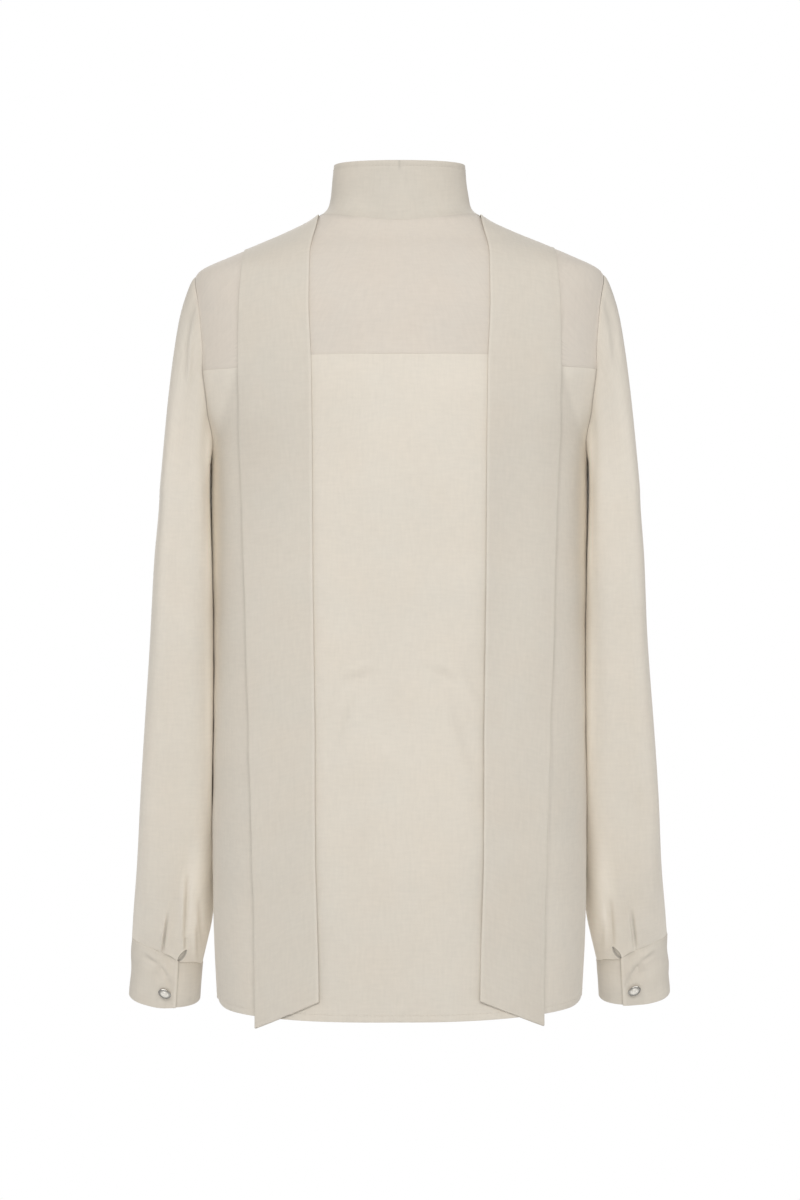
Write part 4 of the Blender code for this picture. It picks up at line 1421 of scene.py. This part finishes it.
SLEEVE_COLUMNS, SLEEVE_ROWS = 156, 216
SLEEVE_RINGS_SHARE = 0.78
SLEEVE_HALF_WIDTH = 60
SLEEVE_PACE = ((0, 0.11, 0.31, 0.48, 0.6, 1), (0, 78 / 360, 105 / 360, 121 / 360, 146 / 360, 1))
SLEEVE_ROW_PACE = ((0, SLEEVE_RINGS_SHARE, 1), (0, RINGS_END, 1))
SLEEVE_SOFTENED = {"row": SLEEVE_ROWS * SLEEVE_RINGS_SHARE, "reach": 24, "passes": 70}
SLEEVE_CREASES = {
    # start, end, width, depth, ridge, tone of painted shade along the crease, all on the back of the sleeve
    1: (
        ((175.5, -76), (182, -99), 1.8, 1.5, 1.0, -0.08),
        ((181, -94), (184.4, -122), 1.8, 1.6, 1.0, -0.09),
        ((183.6, -114), (185.4, -148), 2.0, 1.5, 1.0, -0.07),
        ((210.2, -652), (203.6, -612), 1.0, 1.9, 1.0, -0.26),
        ((188.6, -645), (188.4, -634), 1.6, 1.3, 0.8, -0.1),
        ((188.6, -636), (184.5, -578), 2.2, 1.7, 0.9, -0.08),
        ((178.5, -655), (178.5, -622), 1.8, 1.1, 0.8, -0.06),
        ((174.5, -650), (175.5, -600), 2.3, 1.1, 0.8, -0.05),
        ((186.5, -592), (182, -540), 7, 1.3, 0.5, 0),
        ((200, -646), (196, -600), 5, 0.7, 0.5, 0),
        ((195, -300), (180, -360), 14, 1.6, 0.4, 0),
        ((200, -470), (215, -520), 13, 1.3, -0.5, 0),
    ),
    -1: (
        ((-176, -74), (-183, -102), 1.9, 1.5, -1.0, -0.08),
        ((-182, -98), (-185.2, -134), 2.0, 1.5, -1.0, -0.08),
        ((-210.0, -650), (-204.2, -611), 1.0, 1.9, -1.0, -0.26),
        ((-188.5, -647), (-184.5, -600), 2.2, 1.5, -0.9, -0.09),
        ((-179, -655), (-179, -620), 1.8, 0.8, -0.8, -0.05),
        ((-185, -598), (-181, -545), 7, 1.2, -0.5, 0),
        ((-199, -646), (-195, -604), 5, 0.7, -0.5, 0),
        ((-196, -340), (-182, -400), 14, 1.5, -0.4, 0),
        ((-202, -500), (-214, -550), 13, 1.2, 0.5, 0),
    ),
}
FRONT_PLEATS = (
    # start, end, width, depth, as turn and height round the front of the sleeve
    ((262, -640), (255, -585), 7, 1.6),
    ((290, -640), (296, -600), 7, 1.4),
)
SLEEVE_LIGHT_AND_SHADE = (
    # tone, where; all are painted light and shade: light in the valley beside the body and on the outer side,
    # shade on the inner side and along the armhole seam, and soft patches of both
    (0.42, {"from_valley": 3, "back": (-45, -15), "down": (175, 215)}),
    (-0.27, {"from_valley": 3, "back": (-45, -15), "down": (290, 350)}),
    (0.08, {"back": (-45, -15), "spot": ((167, -245), (9, 55))}),
    (-0.05, {"back": (-45, -15), "spot": ((173, -370), (7, 130))}),
    (-0.05, {"spot": ((183, -75), (9, 26))}),
    (0.36, {"spot": ((173, -618), (13, 52)), "turn": (60, 100), "back_turn": (-195, -170)}),
    (0.1, {"outward": (0.6, 1), "down": (120, 220)}),
    (-0.1, {"inner": (-200, -180), "up": (-260, -120)}),
    (-0.3, {"from_top": 1, "down": (128, 142), "back": (-20, 0)}),
)
SLEEVE_DRIFT_TONE = 0.008
SLEEVE_TOP_FADE, SLEEVE_END_FADE = (0, 7), (-3, 5)
VALLEY_X = 164.5
SLEEVE_BACK_TURN = (10, 42), (-176, -150)
SLEEVE_FRONT_TURN = (196, 226), (-352, -320)
SLEEVE_LOOSE = {"inward": (0.99, 0.3), "down": (110, 330), "up": (-660, -560)}


def sleeve_places(p, turn):
    """The measures that the sleeve's tones and waves go by."""
    x, y, z = np.abs(p[..., 0]), p[..., 1], p[..., 2]
    across = np.cos(np.radians(turn))
    places = {"x": x, "z": z, "back": y, "up": z, "down": -z, "inner": -x, "from_valley": x - VALLEY_X}
    turns = {"turn": turn, "back_turn": -turn, "outward": across, "inward": -across}
    return {**places, **turns, "from_top": arc(p)}


def make_sleeves(sizes):
    left = grid_of(sleeve_surface, SLEEVE_COLUMNS, SLEEVE_ROWS, SLEEVE_PACE, SLEEVE_ROW_PACE)
    left = eased(left, **SLEEVE_SOFTENED)
    turn = 360 * np.interp(np.linspace(0, 1, left.shape[1]), *SLEEVE_PACE)[None]
    across, over = (SLEEVE_HALF_WIDTH * way(np.radians(turn)) for way in (np.cos, np.sin))
    for side, label in SIDES:
        p = mirrored(left, side)
        n = normals_of(p, side > 0)
        n[:, 0] = n[:, -1] = unit(n[:, 0] + n[:, -1])
        x, z = p[..., 0], p[..., 2]
        back = rise(turn, *SLEEVE_BACK_TURN[0]) * rise(-turn, *SLEEVE_BACK_TURN[1])
        hidden = rise(turn, *SLEEVE_FRONT_TURN[0]) * rise(-turn, *SLEEVE_FRONT_TURN[1])
        places, rows = sleeve_places(p, turn), SLEEVE_CREASES[side]
        height = back * sum(crease(x, z, *row[:5]) for row in rows)
        height = height + hidden * sum(crease(turn, z, *pleat) for pleat in FRONT_PLEATS)
        height = height * rise(arc(p), *SLEEVE_TOP_FADE) * rise(from_end(p), *SLEEVE_END_FADE)
        slit_height, slit_light_and_shade = slit(np.abs(x), z)
        drift = SLEEVE_DRIFT_TONE * ripples(across, z * 0.4, seed=45 + side, size=80)
        tone = drift + painted(SLEEVE_LIGHT_AND_SHADE, **places)
        tone = tone + back * (slit_light_and_shade + sum(fold_shade_line(x, z, *row[:3], row[5]) for row in rows))
        waves = ripples(across, z * 0.5 + over, seed=40 + side, size=120)
        waves = waves * painted([(1, SLEEVE_LOOSE)], **places)
        p = raised(p, n, height + back * slit_height + waves, sizes)
        p, n, tone = with_edges(p, n, tone, top=(0.06, 1.8), bottom=(0.2, 1.4))
        piece = add_cloth(f"sleeve_cloth_{label}", p, sizes.cloth, "silk_body", tone, side > 0, True)
        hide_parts(f"sleeve_{label}")


CUFF_CREASES = (
    # start, end, width, depth, ridge, tone of painted shade along the crease
    ((227, -651), (214, -659), 2.0, 1.4, 0.7, -0.05),
    ((213, -660), (207, -671), 2.6, 1.7, 0.5, -0.04),
    ((208, -649.5), (200.5, -657.5), 1.5, 1.2, -0.8, -0.05),
    ((218, -665), (210, -674), 2.8, 1.3, -0.5, -0.04),
    ((206, -668), (203, -680), 2.4, 1.2, 0.5, -0.04),
    ((194, -660), (189, -670), 2.6, 1.0, 0.5, -0.03),
    ((193, -672), (187, -690), 3.0, 1.0, 0.5, -0.03),
)
CUFF_PACE = ((0, 0.1, 0.3, 0.85, 1), (0, 0.1, 0.16, 0.95, 1))
CUFF_HIDDEN_COLUMNS = 30
CUFF_STITCH_DROP = 1.6
CUFF_WAVE = 0.5
CUFF_DRIFT_TONE = 0.014
# A painted highlight along the overlapping edge, the painted shadow that edge casts and painted shade along
# the seam
CUFF_EDGE_INSET, CUFF_EDGE_WIDTH = 1.4, 1.2
CUFF_EDGE_RISE, CUFF_EDGE_HIGHLIGHT = 0.25, 0.08
CUFF_SHADOW_TURN, CUFF_SHADOW_TONE = 2.2, -0.22
CUFF_SEAM_DROP, CUFF_SEAM_WIDTH, CUFF_SEAM_SHADE = 4.2, 0.5, -0.06
CUFF_SEAM_TURN, CUFF_SEAM_REACH = 146, 34
CUFF_BACK_Y = (-80, -66)
CUFF_BACK_TURN = (160, 200)


def make_cuffs(sizes):
    left = grid_of(cuff_surface, columns=150, rows=34, pace=CUFF_PACE)
    share = np.interp(np.linspace(0, 1, left.shape[1]), *CUFF_PACE)
    turns = lerp(CUFF_EDGE_TURN - CUFF_OVERLAP_TURN, CUFF_EDGE_TURN + 360, share)[None]
    shown = np.arange(left.shape[1]) > CUFF_HIDDEN_COLUMNS
    from_edge = np.radians(CUFF_EDGE_TURN + 360 - turns) * CUFF_HALF_DEPTH
    band = bell(from_edge - CUFF_EDGE_INSET, CUFF_EDGE_WIDTH)
    from_top = cuff_height(turns) * np.linspace(0, 1, left.shape[0])[:, None]
    seam = bell(from_top - CUFF_SEAM_DROP, CUFF_SEAM_WIDTH) * bump(turns, CUFF_SEAM_TURN, CUFF_SEAM_REACH)
    # Painted highlight, shadow and shade lines of the cuff
    lines = CUFF_EDGE_HIGHLIGHT * band + CUFF_SEAM_SHADE * seam
    lines = lines + CUFF_SHADOW_TONE * bell(turns - CUFF_EDGE_TURN, CUFF_SHADOW_TURN)
    for side, label in SIDES:
        p = mirrored(left, side)
        n = normals_of(p, side > 0)
        x, y, z = np.abs(p[..., 0]), p[..., 1], p[..., 2]
        back = rise(y, *CUFF_BACK_Y) * rise(turns, *CUFF_BACK_TURN)
        height = sum(crease(x, z, *row[:5]) for row in CUFF_CREASES)
        height = back * (height + CUFF_WAVE * ripples(x, z, seed=60 + side, size=24))
        tone = back * sum(fold_shade_line(x, z, *row[:3], row[5]) for row in CUFF_CREASES)
        tone = tone + lines + CUFF_DRIFT_TONE * ripples(x, z, seed=62 + side, size=20)
        p = raised(p, n, height + CUFF_EDGE_RISE * band, sizes)
        sew(f"cuff_stitches_{label}", seam_line(p[:, shown], n[:, shown], CUFF_STITCH_DROP))
        edges = {"top": (0.35, 0.8), "bottom": (0.4, 0, 28), "first": (0.4, 0.4), "last": (0.4, 0.5)}
        p, n, tone = with_edges(p, n, tone, **edges)
        piece = add_cloth(f"cuff_cloth_{label}", p, sizes.cloth, "silk_trim", tone, side > 0)
        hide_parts(f"cuff_{label}")


# Shape and tone of a button, in shares of its size; the tone is painted shade on its rim, less on its lit
# side
BUTTON_RIM_SHADES = (-0.68, -0.5)
BUTTON_RIM = (0.48, 0.8)
BUTTON_LIT_SIDE = (-0.3, 0.3)
BUTTON_RIM_HEIGHT = 0.3
BUTTON_DOME_REACH = 0.95
BUTTON_WALL_SLOPE = 4


def make_buttons(sizes):
    up, out, back = cuff_axes()
    base = cuff_point(BUTTON_TURN, BUTTON_RISE)
    size = np.array((sizes.button_length, sizes.button_width, sizes.button_height))
    for side, label in SIDES:
        work = bmesh.new()
        bmesh.ops.create_uvsphere(work, u_segments=56, v_segments=36, radius=0.5)
        shade = work.verts.layers.float.new("Tone")
        for vertex in work.verts:
            along, across, high = vertex.co
            reach = 2 * math.hypot(along, across)
            # Painted shade on the rim, less on the lit side
            rim_shade = lerp(*BUTTON_RIM_SHADES, rise(across, *BUTTON_LIT_SIDE))
            vertex[shade] = rim_shade * rise(reach, *BUTTON_RIM)
            if high > 0:
                dome = lerp(BUTTON_RIM_HEIGHT, 1, bump(reach, 0, BUTTON_DOME_REACH))
                high = 0.5 * dome * min(1, BUTTON_WALL_SLOPE * high)
            along, across, lift = size * (along, across, high + 0.5) / MILLIMETRE
            slide = along * math.cos(BUTTON_TILT) - across * math.sin(BUTTON_TILT)
            climb = along * math.sin(BUTTON_TILT) + across * math.cos(BUTTON_TILT)
            spot = base + out * slide + up * climb + back * (SEAM_GAP + lift)
            vertex.co = settled(mirrored(spot, side)) * MILLIMETRE
        if side > 0:
            bmesh.ops.reverse_faces(work, faces=work.faces)
        piece = add_mesh(f"button_{label}", work, finish("polished_silver"))
        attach(piece, "root")
        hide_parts(f"cuff_button_{label}")


# ---------------------------------------------------------------- stage


LENS, SENSOR_WIDTH, CLIP_END = 102.857, 36, 50
PICTURE_HEIGHT = 1200
PICTURE_SHIFT = 0.5
AIM = Vector((0, 0, -0.3))
LIGHTS = (
    # name, place, width, share of the key power
    ("key_left", (0.6, 2.5, 1.0), 1.4, 1),
    ("key_right", (-0.6, 2.5, 1.0), 1.4, 1),
    ("side_left", (2.6, 0.1, 0.4), 1.6, 0.5),
    ("side_right", (-2.6, 0.1, 0.4), 1.6, 0.5),
    ("front_light", (0.3, -2.9, 0.8), 2.6, 1.5),
)


def make_stage(stage):
    scene = bpy.context.scene
    work = bmesh.new()
    bmesh.ops.create_circle(work, cap_ends=True, segments=128, radius=stage.floor_radius)
    bmesh.ops.translate(work, verts=work.verts, vec=(0, 0, stage.floor_level))
    floor = add_mesh("floor", work, floor_finish(stage))
    add_world(stage)
    for name, spot, size, share in LIGHTS:
        lamp = bpy.data.lights.new(name, "AREA")
        lamp.shape, lamp.size, lamp.energy = "DISK", size, stage.key_power * share
        light = bpy.data.objects.new(name, lamp)
        light.location = spot
        light.rotation_euler = (AIM - light.location).to_track_quat("-Z", "Y").to_euler()
        scene.collection.objects.link(light)
    data = bpy.data.cameras.new("camera")
    data.sensor_width, data.lens, data.clip_end = SENSOR_WIDTH, LENS, CLIP_END
    data.shift_x = PICTURE_SHIFT / PICTURE_HEIGHT
    camera = bpy.data.objects.new("camera", data)
    camera.location = (0, stage.camera_distance, stage.camera_level)
    camera.rotation_euler = (math.radians(90), 0, math.radians(180))
    scene.collection.objects.link(camera)
    scene.camera = camera
    scene.view_settings.view_transform = "Standard"


def floor_finish(stage):
    color = tuple(stage.floor_color)
    glow = {"Emission_Strength": stage.floor_glow, "Emission_Color": (1, 1, 1, 1)}
    plain = Finish("floor_paint", Specular_IOR_Level=0.1, Roughness=0.9, **glow)
    speck = plain.noise(plain.place(), 30, 2)
    return plain.set(Base_Color=plain.mix(speck, color, tinted(color, 0.99, 0.99, 0.99)))


def add_world(stage):
    """A pale, even surround: plain white to the camera, and a softer light on the blouse."""
    world = bpy.data.worlds.new("studio")
    world.use_nodes = True
    tree = world.node_tree
    shown, lit = tree.nodes["Background"], tree.nodes.new("ShaderNodeBackground")
    glows = (shown, (1, 1, 1), 1), (lit, stage.surround_color, stage.surround_strength)
    for node, color, strength in glows:
        node.inputs["Color"].default_value = (*color, 1)
        node.inputs["Strength"].default_value = strength
    ray = tree.nodes.new("ShaderNodeLightPath")
    choice = tree.nodes.new("ShaderNodeMixShader")
    tree.links.new(ray.outputs["Is Camera Ray"], choice.inputs[0])
    tree.links.new(lit.outputs[0], choice.inputs[1])
    tree.links.new(shown.outputs[0], choice.inputs[2])
    tree.links.new(choice.outputs[0], tree.nodes["World Output"].inputs[0])
    bpy.context.scene.world = world


# ---------------------------------------------------------------- panel and operators


def number(name, description, default, **limits):
    return bpy.props.FloatProperty(name=name, description=description, default=default, **limits)


def length(name, description, default):
    return number(name, description, default, unit="LENGTH", precision=5)


def color(name, description, default):
    limits = {"subtype": "COLOR", "min": 0, "max": 1}
    return bpy.props.FloatVectorProperty(name=name, description=description, default=default, **limits)


class BlouseSizes(bpy.types.PropertyGroup):
    cloth: number("Cloth", "Thickness of one layer, in millimetres", 0.45, min=0.1, max=1)
    crease: number("Creases", "Depth of the creases, as a share of the usual", 1, min=0, max=2)
    button_length: length("Button length", "Long way across a cuff button", 0.012)
    button_width: length("Button width", "Short way across a cuff button", 0.0085)
    button_height: length("Button height", "How far a cuff button stands off the cuff", 0.0044)


class BlouseColors(bpy.types.PropertyGroup):
    body: color("Body", "Silk of the back, fronts and sleeves", (0.755, 0.693, 0.600))
    yoke: color("Yoke", "Silk of the yoke, where it is double", (0.69, 0.625, 0.545))
    trim: color("Trim", "Silk of the collar, ties and cuffs", (0.69, 0.633, 0.547))
    thread: color("Thread", "Sewing thread", (0.76, 0.70, 0.61))
    silver: color("Silver", "Cuff buttons", (0.88, 0.85, 0.79))


class BlouseStage(bpy.types.PropertyGroup):
    floor_level: length("Floor level", "Height of the floor", -1.05)
    floor_radius: length("Floor radius", "How far the floor reaches", 1.05)
    floor_color: color("Floor", "Colour of the floor", (0.86, 0.86, 0.86))
    floor_glow: number("Floor glow", "Light that the floor gives off, as a lit studio floor does", 0.08)
    surround_color: color("Surround", "Colour of the light from all round", (1, 1, 1))
    surround_strength: number("Surround strength", "Strength of the light from all round", 0.4)
    key_power: number("Key power", "Power of the main light, in watts", 23.5)
    camera_distance: length("Camera distance", "From the blouse to the camera", 3)
    camera_level: length("Camera level", "Height of the camera", -0.336)


class BLOUSE_OT_yoke(bpy.types.Operator):
    """Add the double yoke over the shoulders"""

    bl_idname = "blouse.yoke"
    bl_label = "Yoke"

    def execute(self, context):
        make_yoke(context.scene.blouse_sizes)
        return {"FINISHED"}


class BLOUSE_OT_back(bpy.types.Operator):
    """Add the back panel with its hem"""

    bl_idname = "blouse.back"
    bl_label = "Back"

    def execute(self, context):
        make_back(context.scene.blouse_sizes)
        return {"FINISHED"}


class BLOUSE_OT_fronts(bpy.types.Operator):
    """Add the two fronts"""

    bl_idname = "blouse.fronts"
    bl_label = "Fronts"

    def execute(self, context):
        make_fronts(context.scene.blouse_sizes)
        return {"FINISHED"}


class BLOUSE_OT_placket(bpy.types.Operator):
    """Add the covered band down the centre front"""

    bl_idname = "blouse.placket"
    bl_label = "Placket"

    def execute(self, context):
        make_placket(context.scene.blouse_sizes)
        return {"FINISHED"}


class BLOUSE_OT_collar(bpy.types.Operator):
    """Add the stand collar"""

    bl_idname = "blouse.collar"
    bl_label = "Collar"

    def execute(self, context):
        make_collar(context.scene.blouse_sizes)
        return {"FINISHED"}


class BLOUSE_OT_ties(bpy.types.Operator):
    """Add the two long ties"""

    bl_idname = "blouse.ties"
    bl_label = "Ties"

    def execute(self, context):
        make_ties(context.scene.blouse_sizes)
        return {"FINISHED"}


class BLOUSE_OT_sleeves(bpy.types.Operator):
    """Add the two sleeves"""

    bl_idname = "blouse.sleeves"
    bl_label = "Sleeves"

    def execute(self, context):
        make_sleeves(context.scene.blouse_sizes)
        return {"FINISHED"}


class BLOUSE_OT_cuffs(bpy.types.Operator):
    """Add the two overlapping cuffs"""

    bl_idname = "blouse.cuffs"
    bl_label = "Cuffs"

    def execute(self, context):
        make_cuffs(context.scene.blouse_sizes)
        return {"FINISHED"}


class BLOUSE_OT_buttons(bpy.types.Operator):
    """Add the two cuff buttons"""

    bl_idname = "blouse.buttons"
    bl_label = "Buttons"

    def execute(self, context):
        make_buttons(context.scene.blouse_sizes)
        return {"FINISHED"}


class BLOUSE_OT_stage(bpy.types.Operator):
    """Add the floor, the lights and the camera"""

    bl_idname = "blouse.stage"
    bl_label = "Stage"

    def execute(self, context):
        make_stage(context.scene.blouse_stage)
        return {"FINISHED"}


OPERATORS = (
    BLOUSE_OT_yoke,
    BLOUSE_OT_back,
    BLOUSE_OT_fronts,
    BLOUSE_OT_placket,
    BLOUSE_OT_collar,
    BLOUSE_OT_ties,
    BLOUSE_OT_sleeves,
    BLOUSE_OT_cuffs,
    BLOUSE_OT_buttons,
    BLOUSE_OT_stage,
)


class BLOUSE_PT_panel(bpy.types.Panel):
    """Sizes, colours and pieces of the blouse"""

    bl_label = "Silk blouse"
    bl_space_type = "VIEW_3D"
    bl_region_type = "UI"
    bl_category = "Blouse"

    def draw(self, context):
        for group in (context.scene.blouse_sizes, context.scene.blouse_colors, context.scene.blouse_stage):
            box = self.layout.box()
            for name in group.__annotations__:
                box.prop(group, name)
        for operator in OPERATORS:
            self.layout.operator(operator.bl_idname)


CLASSES = (BlouseSizes, BlouseColors, BlouseStage, *OPERATORS, BLOUSE_PT_panel)


def register():
    for made in CLASSES:
        bpy.utils.register_class(made)
    bpy.types.Scene.blouse_sizes = bpy.props.PointerProperty(type=BlouseSizes)
    bpy.types.Scene.blouse_colors = bpy.props.PointerProperty(type=BlouseColors)
    bpy.types.Scene.blouse_stage = bpy.props.PointerProperty(type=BlouseStage)


def unregister():
    for name in ("blouse_sizes", "blouse_colors", "blouse_stage"):
        delattr(bpy.types.Scene, name)
    for made in reversed(CLASSES):
        bpy.utils.unregister_class(made)


def main():
    register()
    for operator in OPERATORS:
        group, name = operator.bl_idname.split(".")
        getattr(getattr(bpy.ops, group), name)()


if __name__ == "__main__":
    main()
